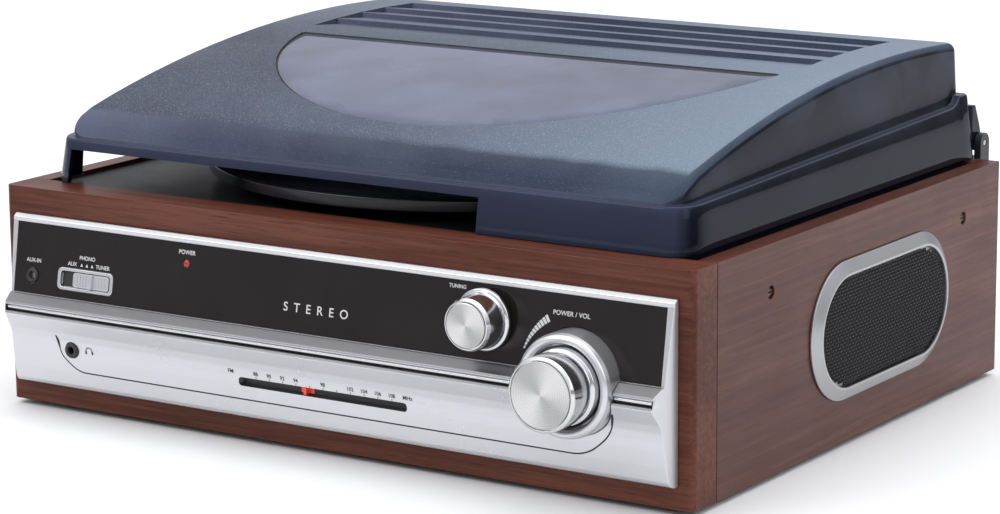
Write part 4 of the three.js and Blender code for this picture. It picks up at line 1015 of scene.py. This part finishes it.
# ---------------------------------------------------------------- inner parts and rear
def add_electronics():
    backing = refined("control_board", ["circuit_board", "black_plastic", "steel"], 0.2, 1)
    paint(backing, lambda m, n: m.y < -141.8, 2)
    paint(backing, lambda m, n: m.y < -157 and m.z < 45, 1)
    board = refined("main_circuit_board", ["circuit_board", "black_plastic", "aluminium"], 0.2, 1)
    paint(board, lambda m, n: m.z > 21.8, 1)
    paint(board, lambda m, n: m.z > 22 and m.y < -42 and m.y > -52 and m.x < 21, 2)
    refined("power_transformer", "steel", 0.4, 1)
    refined("tuning_drum", "black_plastic", 0.2, 1)
    refined("dial_pointer", "pointer_red", 0.25, 2)
    refined("rear_panel", "black_plastic", 0.3, 2)
    sockets = refined("line_out_sockets", ["aluminium", "black_plastic"], 0.25, 2)
    paint(sockets, lambda m, n: m.y < 158, 1)
    refined("mains_inlet", "black_plastic", 0.3, 2)
    for side in ("left", "right"):
        refined(f"hinge_bracket_{side}", "black_plastic", 0.5, 3)
        refined(f"hinge_pin_{side}", "steel", 0.2, 2)


# ---------------------------------------------------------------- deck, platter and drive
PLATTER = (-21.0, 6.0)
PULLEY = (-111.888, 81.256)


def add_deck():
    refined("deck_plate", "deck", 0.5, 2)
    disc = filleted([(3.8, 131, 0.3), (16, 131, 0.3), (16, 133), (19, 133, 0.6), (19, 136, 0.8),
                     (13, 137, 0.6), (12, 138, 0.6), (3.8, 138, 0.3)], 4, True)
    adapter = turned(disc, "z", -157, 132, 96)
    slots = []
    for k in range(3):
        angle = math.radians(90 + 120 * k)
        slot = box(-0.8, 0.8, 8, 15.6, 134.5, 140)
        slot.data.transform(Matrix.Translation(at(-157, 132, 0)) @ Matrix.Rotation(angle, 4, "Z")
                            @ Matrix.Translation(-at(0, 0, 0)))
        slots.append(slot)
    carve(adapter, *slots)
    stand_in(adapter, "adapter_45")

    hub, web, bore = 12, 122.6, 3.9
    body = filleted([(bore, 115.4), (hub, 115.4, 0.5), (hub, web), (92, web), (92, 117.4, 0.4),
                     (95, 117.4, 0.4), (95, web), (144, web), (144, 119.5, 0.3), (146.2, 119.5, 0.4),
                     (147, 120.3, 0.5),
                     (147, 125.6, 1.2), (145.6, 127, 1.0), (143.6, 127, 0.4), (143.3, 125.2),
                     (bore, 125.2)], 5, True)
    stand_in(turned(body, "z", *PLATTER, 192), "platter", "platter_black")
    low, high = 125.5, 127.1
    ribs = [(bore, low), (bore, high, 0.2), (50, high, 0.2), (50.6, high - 0.5, 0.2)]
    radius = 52.0
    while radius < 141:
        ribs += [(radius, high - 0.45, 0.2), (radius + 0.5, high, 0.2), (radius + 1.5, high, 0.2),
                 (radius + 2.0, high - 0.45, 0.2)]
        radius += 2.6
    ribs += [(142.4, high - 0.4, 0.2), (143, high - 0.9, 0.2), (143, low)]
    stand_in(turned(filleted(ribs, 2, True), "z", *PLATTER, 192), "platter_mat", "mat", sharp=50)
    rod = filleted([(0, 91), (3.6, 91), (3.6, 138.4, 0.8), (2.6, 140.4, 0.8), (0, 141.2)], 5)
    stand_in(turned(rod, "z", *PLATTER, 64), "spindle")
    refined("spindle_bearing", "brass", 0.2, 1)
    refined("drive_belt", "rubber", 0, 1)
    refined("motor", "steel", 0.4, 2)
    crown = filleted([(0, 95.5), (1.2, 95.5), (1.2, 114.6), (6.6, 114.6, 0.3), (6.6, 116.4, 0.3),
                      (5.5, 117, 0.3), (5.7, 119.3, 2), (5.5, 121.6, 0.3), (3, 122.2, 0.3), (0, 122.2)], 4)
    stand_in(turned(crown, "z", *PULLEY, 64), "motor_pulley")


def add_tonearm():
    x, y, z = 150, 118, 139
    refined("tonearm_base", "black_plastic", 0.5, 2)
    refined("tonearm_gimbal", "aluminium", 0.4, 2)
    refined("tonearm_tube", "aluminium", 0.3, 2)
    weight = filleted([(0, y + 14.3), (9, y + 14.3, 0.4), (9.4, y + 15, 0.3), (9.4, y + 18, 0.2),
                       (8.9, y + 18.4, 0.2), (8.9, y + 19.2, 0.2), (9.4, y + 19.6, 0.2), (9.4, y + 27, 0.4),
                       (8.4, y + 28, 0.6), (0, y + 28)], 4)
    stand_in(turned(weight, "y", x, z, 96), "counterweight")
    refined("headshell", "black_plastic", 0.35, 2)
    refined("cartridge", "cartridge_red", 0.2, 2)
    refined("arm_rest", "black_plastic", 0.4, 2)
    refined("cue_lever", "black_plastic", 0.4, 2)
    refined("cue_lifter", "steel", 0.2, 2)
    refined("speed_lever", "black_plastic", 0.4, 2)


# ---------------------------------------------------------------- dust cover
WALL = 2.6
RIM = dict(half=196.0, front=-147.0, back=165.4, z=116.3, corner=16.0, rear=5.0)
STEP = dict(half=192.4, front=-141.0, back=163.6, z=152.0, corner=14.0, rear=5.0)
BODY_LOW = dict(half=190.6, front=-141.0, back=161.0, z=100.0, corner=13.0, rear=6.0)
BODY_HIGH = dict(half=186.0, front=-140.0, back=160.0, z=186.0, corner=9.0, rear=6.0)
GAP_RIGHT, GAP_TOP, GAP_SIDE_FRONT, GAP_SIDE_BACK = 76.5, 134.0, -122.0, 20.0
CROWN_Y, CROWN_Z, CROWN_RADIUS = 96.0, 182.0, 865.0
NOSE_Y, NOSE_BACK = -141.0, -118.0
EDGE_RADIUS = 4.6
WINDOW_MIDDLE, WINDOW_RADIUS, WINDOW_BACK = (2.0, 50.0), 155.0, 20.0
LOUVRES = (37.0, 60.0, 84.0, 107.0, 135.0)
LOUVRE_LEFT, LOUVRE_RIGHT, LOUVRE_DEPTH = -155.0, 158.0, 3.0
CORNER_TURNS = (0.0, 10.8, 23.0, 36.0, 49.0, 62.0, 76.0, 90.0)


def crown(y):
    return CROWN_Z - CROWN_RADIUS + math.sqrt(CROWN_RADIUS ** 2 - (y - CROWN_Y) ** 2)


def cover_height(y):
    """Height of the cover's outside: a nose at the front, then one long arc."""
    if y >= NOSE_BACK:
        return crown(y)
    t = (-8.0 + math.sqrt(64.0 + 60.0 * (max(y, NOSE_Y) - NOSE_Y))) / 30.0
    return (1 - t) ** 2 * 139.0 + 2 * t * (1 - t) * 150.0 + t * t * crown(NOSE_BACK)


def ledge_height(y):
    low = 139.2 + (y + 160.0) * 7.8 / 310.0
    share = min(max((y - 146.0) / 6.0, 0.0), 1.0)
    return low + (152.0 - low) * share * share * (3 - 2 * share)


def plan_between(low, high, z):
    share = (z - low["z"]) / (high["z"] - low["z"])
    return {key: low[key] + (high[key] - low[key]) * share for key in low}


def plan_points(plan, inset):
    """Points around a plan; every plan gives the same number, in the same order, counter-clockwise."""
    half, front, back = plan["half"] - inset, plan["front"] + inset, plan["back"] - inset
    corner, rear = max(plan["corner"] - inset, 0.5), max(plan["rear"] - inset, 0.5)
    points = []
    xs = [-168, -150, -130, -110, -90, -70, -50, -30, -10, 10, 30, 50, GAP_RIGHT, 90, 110, 130, 150, 168]
    ys = [GAP_SIDE_FRONT, -105, -88, -70, -52, -35, -18, 0, GAP_SIDE_BACK, *range(38, 129, 18), 143, 148, 152]

    def turn(cx, cy, r, first, steps):
        angles = [math.radians(first + step) for step in steps]
        return [(cx + r * math.cos(angle), cy + r * math.sin(angle)) for angle in angles]

    rising = CORNER_TURNS
    falling = tuple(90 - s for s in CORNER_TURNS[::-1])
    points += [(x, front) for x in xs]
    points += turn(half - corner, front + corner, corner, 270, rising)
    points += [(half, y) for y in ys]
    points += turn(half - rear, back - rear, rear, 0, rising)
    points += [(x, back) for x in xs[::-1]]
    points += turn(-half + rear, back - rear, rear, 90, rising)
    points += [(-half, y) for y in ys[::-1]]
    points += turn(-half + corner, front + corner, corner, 180, falling)
    return points


class Shell:
    """A wall with an outer and an inner face that share one layout of faces."""

    def __init__(self):
        self.outer, self.inner, self.faces, self.kinds = [], [], [], []

    def point(self, outer, inner):
        self.outer.append(outer)
        self.inner.append(inner)
        return len(self.outer) - 1

    def face(self, corners, kind):
        self.faces.append(corners)
        self.kinds.append(kind)

    def weld(self):
        """Joins points that lie on the same spot, and drops faces that fold up."""
        seen, target = {}, []
        for i, p in enumerate(self.outer):
            key = tuple(round(c, 3) for c in p)
            target.append(seen.setdefault(key, i))
        faces, kinds = [], []
        for face, kind in zip(self.faces, self.kinds):
            mapped = list(dict.fromkeys(target[i] for i in face))
            if len(mapped) > 2:
                faces.append(mapped)
                kinds.append(kind)
        self.faces, self.kinds = faces, kinds

    def build(self, name, rim_kind):
        self.weld()
        count = len(self.outer)
        edges = {}
        for face in self.faces:
            for a, b in zip(face, face[1:] + face[:1]):
                edges[(a, b)] = edges.get((a, b), 0) + 1
        faces = [list(f) for f in self.faces] + [[i + count for i in f[::-1]] for f in self.faces]
        kinds = list(self.kinds) * 2
        for a, b in list(edges):
            if (b, a) not in edges:
                faces.append([b, a, a + count, b + count])
                kinds.append(rim_kind)
        mesh = bpy.data.meshes.new(name)
        mesh.from_pydata([at(*p) for p in self.outer + self.inner], [], faces)
        for polygon, kind in zip(mesh.polygons, kinds):
            polygon.material_index = kind
        tidy = bmesh.new()
        tidy.from_mesh(mesh)
        loose = [v for v in tidy.verts if not v.link_faces]
        bmesh.ops.delete(tidy, geom=loose, context="VERTS")
        bmesh.ops.recalc_face_normals(tidy, faces=tidy.faces)
        tidy.to_mesh(mesh)
        tidy.free()
        obj = bpy.data.objects.new(name, mesh)
        bpy.context.scene.collection.objects.link(obj)
        return obj


TOP, CLEAR, WINDOW, GROOVE_SHADE = 0, 1, 2, 3


def in_polygon(x, y, polygon):
    inside = False
    for (x0, y0), (x1, y1) in zip(polygon, polygon[1:] + polygon[:1]):
        if (y0 > y) != (y1 > y) and x < x0 + (y - y0) * (x1 - x0) / (y1 - y0):
            inside = not inside
    return inside


def flat_region(shell, outline, holes, height, kind, grid, edge_inner=None):
    """Fills the area between an outline and its holes with triangles lifted to height(y)."""
    loops = [outline] + holes
    points, edges = [], []
    for loop in loops:
        first = len(points)
        points += [Vector(p) for p in loop]
        edges += [(first + i, first + (i + 1) % len(loop)) for i in range(len(loop))]
    for gx, gy in grid:
        clear = in_polygon(gx, gy, outline) and not any(in_polygon(gx, gy, hole) for hole in holes)
        if clear and min(math.hypot(gx - p.x, gy - p.y) for p in points[:sum(map(len, loops))]) > 4.5:
            points.append(Vector((gx, gy)))
    made, _, triangles, origins, _, _ = delaunay_2d_cdt(points, edges, [], 1, 1e-5)
    index = []
    for p, origin in zip(made, origins):
        z = height(p.y)
        x, y, inner = p.x, p.y, (p.x, p.y, z - WALL)
        if edge_inner and origin and origin[0] < len(outline):
            inner = edge_inner[origin[0]]
            x, y = outline[origin[0]]
        index.append(shell.point((x, y, z), inner))
    for triangle in triangles:
        x = sum(made[i].x for i in triangle) / 3
        y = sum(made[i].y for i in triangle) / 3
        if in_polygon(x, y, outline) and not any(in_polygon(x, y, hole) for hole in holes):
            shell.face([index[i] for i in triangle], kind)


def cover_rings():
    """(outer points, inner points, material) for each ring of the cover's wall, from its rim upwards."""
    rings = []

    def add(plan_of, z_of, inset, kind, inner_z):
        outer_plan = plan_points(plan_of(150.0), inset)
        outer, inner = [], []
        for i, (_, y_guess) in enumerate(outer_plan):
            z = z_of(y_guess)
            x, y = plan_points(plan_of(z), inset)[i]
            outer.append((x, y, z_of(y)))
            x, y = plan_points(plan_of(z), inset + WALL)[i]
            inner.append((x, y, inner_z(y, z_of(outer[-1][1]))))
        rings.append((outer, inner, kind))

    skirt = lambda z: plan_between(RIM, STEP, min(z, 152.0))
    body = lambda z: plan_between(BODY_LOW, BODY_HIGH, z)
    same = lambda y, z: z
    under_ledge = lambda y, z: min(z, ledge_height(y) - WALL)
    for inset, z in ((0.7, 116.3), (0.2, 116.5), (0.0, 117.1)):
        add(skirt, lambda y, z=z: z, inset, CLEAR, same)
    for z in (122.0, 128.0, GAP_TOP):
        add(skirt, lambda y, z=z: z, 0.0, CLEAR, same)
    for drop, inset in ((1.4, 0.0), (0.5, 0.35), (0.1, 0.9), (0.0, 1.6)):
        add(skirt, lambda y, drop=drop: ledge_height(y) - drop, inset, CLEAR, under_ledge)

    def room(y):
        return max(cover_height(y) - ledge_height(y), 0.0)

    for rise, inset in ((0.0, -0.9), (0.25, -0.3), (1.0, 0.0)):
        add(body, lambda y, rise=rise: ledge_height(y) + min(rise, 0.5 * room(y)), inset, CLEAR,
            lambda y, z: ledge_height(y) - WALL + min(z - ledge_height(y), 0.4 * room(y)))
    radius_at = lambda y: min(EDGE_RADIUS, 0.55 * room(y))
    for share in (0.33, 0.66, 1.0):
        def level(y, share=share):
            low = ledge_height(y) + min(1.0, 0.5 * room(y))
            high = cover_height(y) - radius_at(y)
            return low + (high - low) * share
        add(body, level, 0.0, CLEAR, lambda y, z: z - WALL * 0.9)
    steps = 7
    for k in range(1, steps + 1):
        angle = math.radians(90 * k / steps)
        inset = EDGE_RADIUS * (1 - math.cos(angle))
        drop = 1 - math.sin(angle)
        kind = TOP if k > 2 else CLEAR
        add(body, lambda y, drop=drop: cover_height(y) - radius_at(y) * drop, inset, kind,
            lambda y, z: z - WALL)
    return rings


def in_cover_gap(middle):
    x, y, z = middle
    front = -182.6 < x < GAP_RIGHT and y < -130
    side = x < -180 and GAP_SIDE_FRONT < y < GAP_SIDE_BACK
    return z < GAP_TOP and (front or side)


def add_cover():
    shell = Shell()
    rings = cover_rings()
    index = [[shell.point(o, i) for o, i in zip(outer, inner)] for outer, inner, _ in rings]
    count = len(index[0])
    for low, high, (_, _, kind) in zip(index, index[1:], rings[1:]):
        for j in range(count):
            n = (j + 1) % count
            corners = [low[j], low[n], high[n], high[j]]
            middle = [sum(shell.outer[c][axis] for c in corners) / 4 for axis in range(3)]
            if not in_cover_gap(middle):
                shell.face(corners, kind)

    grid = [(x, y) for x in range(-180, 181, 12) for y in range(-132, 157, 8)]
    half = math.asin((WINDOW_MIDDLE[1] - WINDOW_BACK) / WINDOW_RADIUS)
    arc_steps = 72
    pane = []
    for k in range(arc_steps + 1):
        angle = math.pi + half + (math.pi - 2 * half) * k / arc_steps
        pane.append((WINDOW_MIDDLE[0] + WINDOW_RADIUS * math.cos(angle),
                     WINDOW_MIDDLE[1] + WINDOW_RADIUS * math.sin(angle)))
    left, right = pane[0][0], pane[-1][0]
    pane[0] = (*pane[0], 7.0)
    pane[-1] = (*pane[-1], 7.0)
    pane += [(right - (right - left) * k / 16, WINDOW_BACK) for k in range(1, 16)]
    pane = filleted(pane, 5, True)

    sawtooth = [(LOUVRES[0], cover_height(LOUVRES[0]))]
    for front, back in zip(LOUVRES, LOUVRES[1:]):
        if front > LOUVRES[0]:
            sawtooth.append((front, cover_height(front) - 0.1, 0.9))
        sawtooth.append((back - 1.6, cover_height(back - 1.6) - LOUVRE_DEPTH, 0.6))
    sawtooth.append((LOUVRES[-1], cover_height(LOUVRES[-1])))
    sawtooth = filleted(sawtooth, 4)
    stations = [LOUVRE_LEFT + (LOUVRE_RIGHT - LOUVRE_LEFT) * k / 24 for k in range(25)]
    opening = [(x, LOUVRES[0]) for x in stations] + [(LOUVRE_RIGHT, y) for y, _ in sawtooth[1:-1]]
    opening += [(x, LOUVRES[-1]) for x in stations[::-1]] + [(LOUVRE_LEFT, y) for y, _ in sawtooth[-2:0:-1]]

    edge_outer, edge_inner, _ = rings[-1]
    edge = [(x, y) for x, y, _ in edge_outer]
    flat_region(shell, edge, [pane, opening], cover_height, TOP, grid, edge_inner)
    grooves = [(0.0, 0.0), (0.12, 0.5), (0.35, 1.1), (0.75, 1.15), (1.0, 0.75), (1.3, 0.6)]
    rows = []
    for inset, drop in grooves:
        ring = inset_outline(pane, inset) if inset else pane
        under = WALL + min(drop, 0.6)
        rows.append([shell.point((x, y, cover_height(y) - drop), (x, y, cover_height(y) - under))
                     for x, y in ring])
    # the groove's faces take the near-black look, painted shade in the groove
    for low, high in zip(rows, rows[1:]):
        for j in range(len(pane)):
            n = (j + 1) % len(pane)
            shell.face([low[j], low[n], high[n], high[j]], GROOVE_SHADE)
    window_height = lambda y: cover_height(y) - grooves[-1][1]
    flat_region(shell, inset_outline(pane, grooves[-1][0]), [], window_height, WINDOW, grid)

    rows = [[shell.point((x, y, z), (x, y, z - WALL)) for x in stations] for y, z in sawtooth]
    for low, high in zip(rows, rows[1:]):
        for j in range(len(stations) - 1):
            shell.face([low[j], low[j + 1], high[j + 1], high[j]], TOP)
    for x, flip in ((LOUVRE_LEFT, False), (LOUVRE_RIGHT, True)):
        low = [shell.point((x, y, z), (x, y, z - WALL)) for y, z in sawtooth]
        high = [shell.point((x, y, cover_height(y)), (x, y, cover_height(y) - WALL)) for y, _ in sawtooth]
        for j in range(len(sawtooth) - 1):
            corners = [low[j], low[j + 1], high[j + 1], high[j]]
            shell.face(corners[::-1] if flip else corners, TOP)
    cover = shell.build("dust_cover_look", CLEAR)
    stand_in(cover, "dust_cover", ["top", "clear", "window", "groove_shade"], sharp=28, weighted=False)

    hinge_y, hinge_z, root = 172.0, 124.0, 164.2
    arc = [(hinge_y + 4.8 * math.cos(math.radians(a)), hinge_z + 4.8 * math.sin(math.radians(a)))
           for a in range(180, 361, 15)]
    lug = [(root, 126.0)] + arc + [(hinge_y + 2, 133), (root + 4, 145), (root, 145)]
    for side, sign in (("left", -1), ("right", 1)):
        x0, x1 = sorted((sign * 190 - 3.7, sign * 190 + 3.7))
        piece = prism(lug, "x", x0, x1, f"cover_lug_{side}")
        bore = turned([(0, x0 - 2), (1.9, x0 - 2), (1.9, x1 + 2), (0, x1 + 2)], "x", hinge_y, hinge_z, 32)
        carve(piece, bore)
        complete(soften(piece, 0.5, 2, 50), "cover", "smoked_cover", "clear")


# ---------------------------------------------------------------- floor and light
def add_floor():
    size = 14.0
    mesh = bpy.data.meshes.new("floor")
    corners = [(-size, -size, 0), (size, -size, 0), (size, size, 0), (-size, size, 0)]
    mesh.from_pydata(corners, [], [[0, 1, 2, 3]])
    floor = bpy.data.objects.new("floor", mesh)
    look = Look("floor", Specular_IOR_Level=0.3)
    cloud = look.noise(1.2, 4, 0.6)
    color = look.ramp(cloud, (0.3, (0.79, 0.79, 0.79)), (0.7, (0.82, 0.82, 0.82)))
    look.set(Base_Color=color, Roughness=look.spread(cloud, 0.3, 0.7, 0.55, 0.65),
             Normal=look.bump(look.noise(250.0, 3, 0.6), 0.05, 0.0005))
    floor.data.materials.append(look.material)
    bpy.context.scene.collection.objects.link(floor)


def area_light(name, place, target, size, energy, color=(1, 1, 1)):
    data = bpy.data.lights.new(name, "AREA")
    data.shape = "RECTANGLE"
    data.size, data.size_y = size
    data.energy = energy
    data.color = color
    light = bpy.data.objects.new(name, data)
    aim = (Vector(target) - Vector(place)).to_track_quat("-Z", "Y")
    light.matrix_world = Matrix.Translation(place) @ aim.to_matrix().to_4x4()
    bpy.context.scene.collection.objects.link(light)


HORIZON_LIGHT, OVERHEAD_LIGHT = 0.30, 1.75


def add_light():
    world = bpy.data.worlds.new("studio")
    bpy.context.scene.world = world
    world.use_nodes = True
    tree = world.node_tree
    background = tree.nodes["Background"]
    background.inputs["Color"].default_value = (0.95, 0.96, 1.0, 1)
    coords = tree.nodes.new("ShaderNodeTexCoord")
    split = tree.nodes.new("ShaderNodeSeparateXYZ")
    tree.links.new(coords.outputs["Generated"], split.inputs[0])
    level = tree.nodes.new("ShaderNodeMapRange")
    for socket, value in enumerate((0.0, 0.9, HORIZON_LIGHT, OVERHEAD_LIGHT), 1):
        level.inputs[socket].default_value = value
    tree.links.new(split.outputs["Z"], level.inputs[0])
    tree.links.new(level.outputs[0], background.inputs["Strength"])
    middle = (0.0, 0.0, 0.08)
    area_light("key", (-1.5, -1.9, 2.0), middle, (1.6, 1.2), 16.0)
    area_light("top", (0.2, 0.6, 2.4), middle, (2.2, 1.4), 12.0)
    area_light("side", (2.2, -0.9, 1.1), middle, (1.0, 1.4), 6.0)
    bpy.context.scene.view_settings.view_transform = "Standard"


add_camera()
add_cabinet()
add_speakers()
add_fascia()
add_selector()
add_knobs()
add_graphics()
add_electronics()
add_deck()
add_tonearm()
add_cover()
add_floor()
add_light()
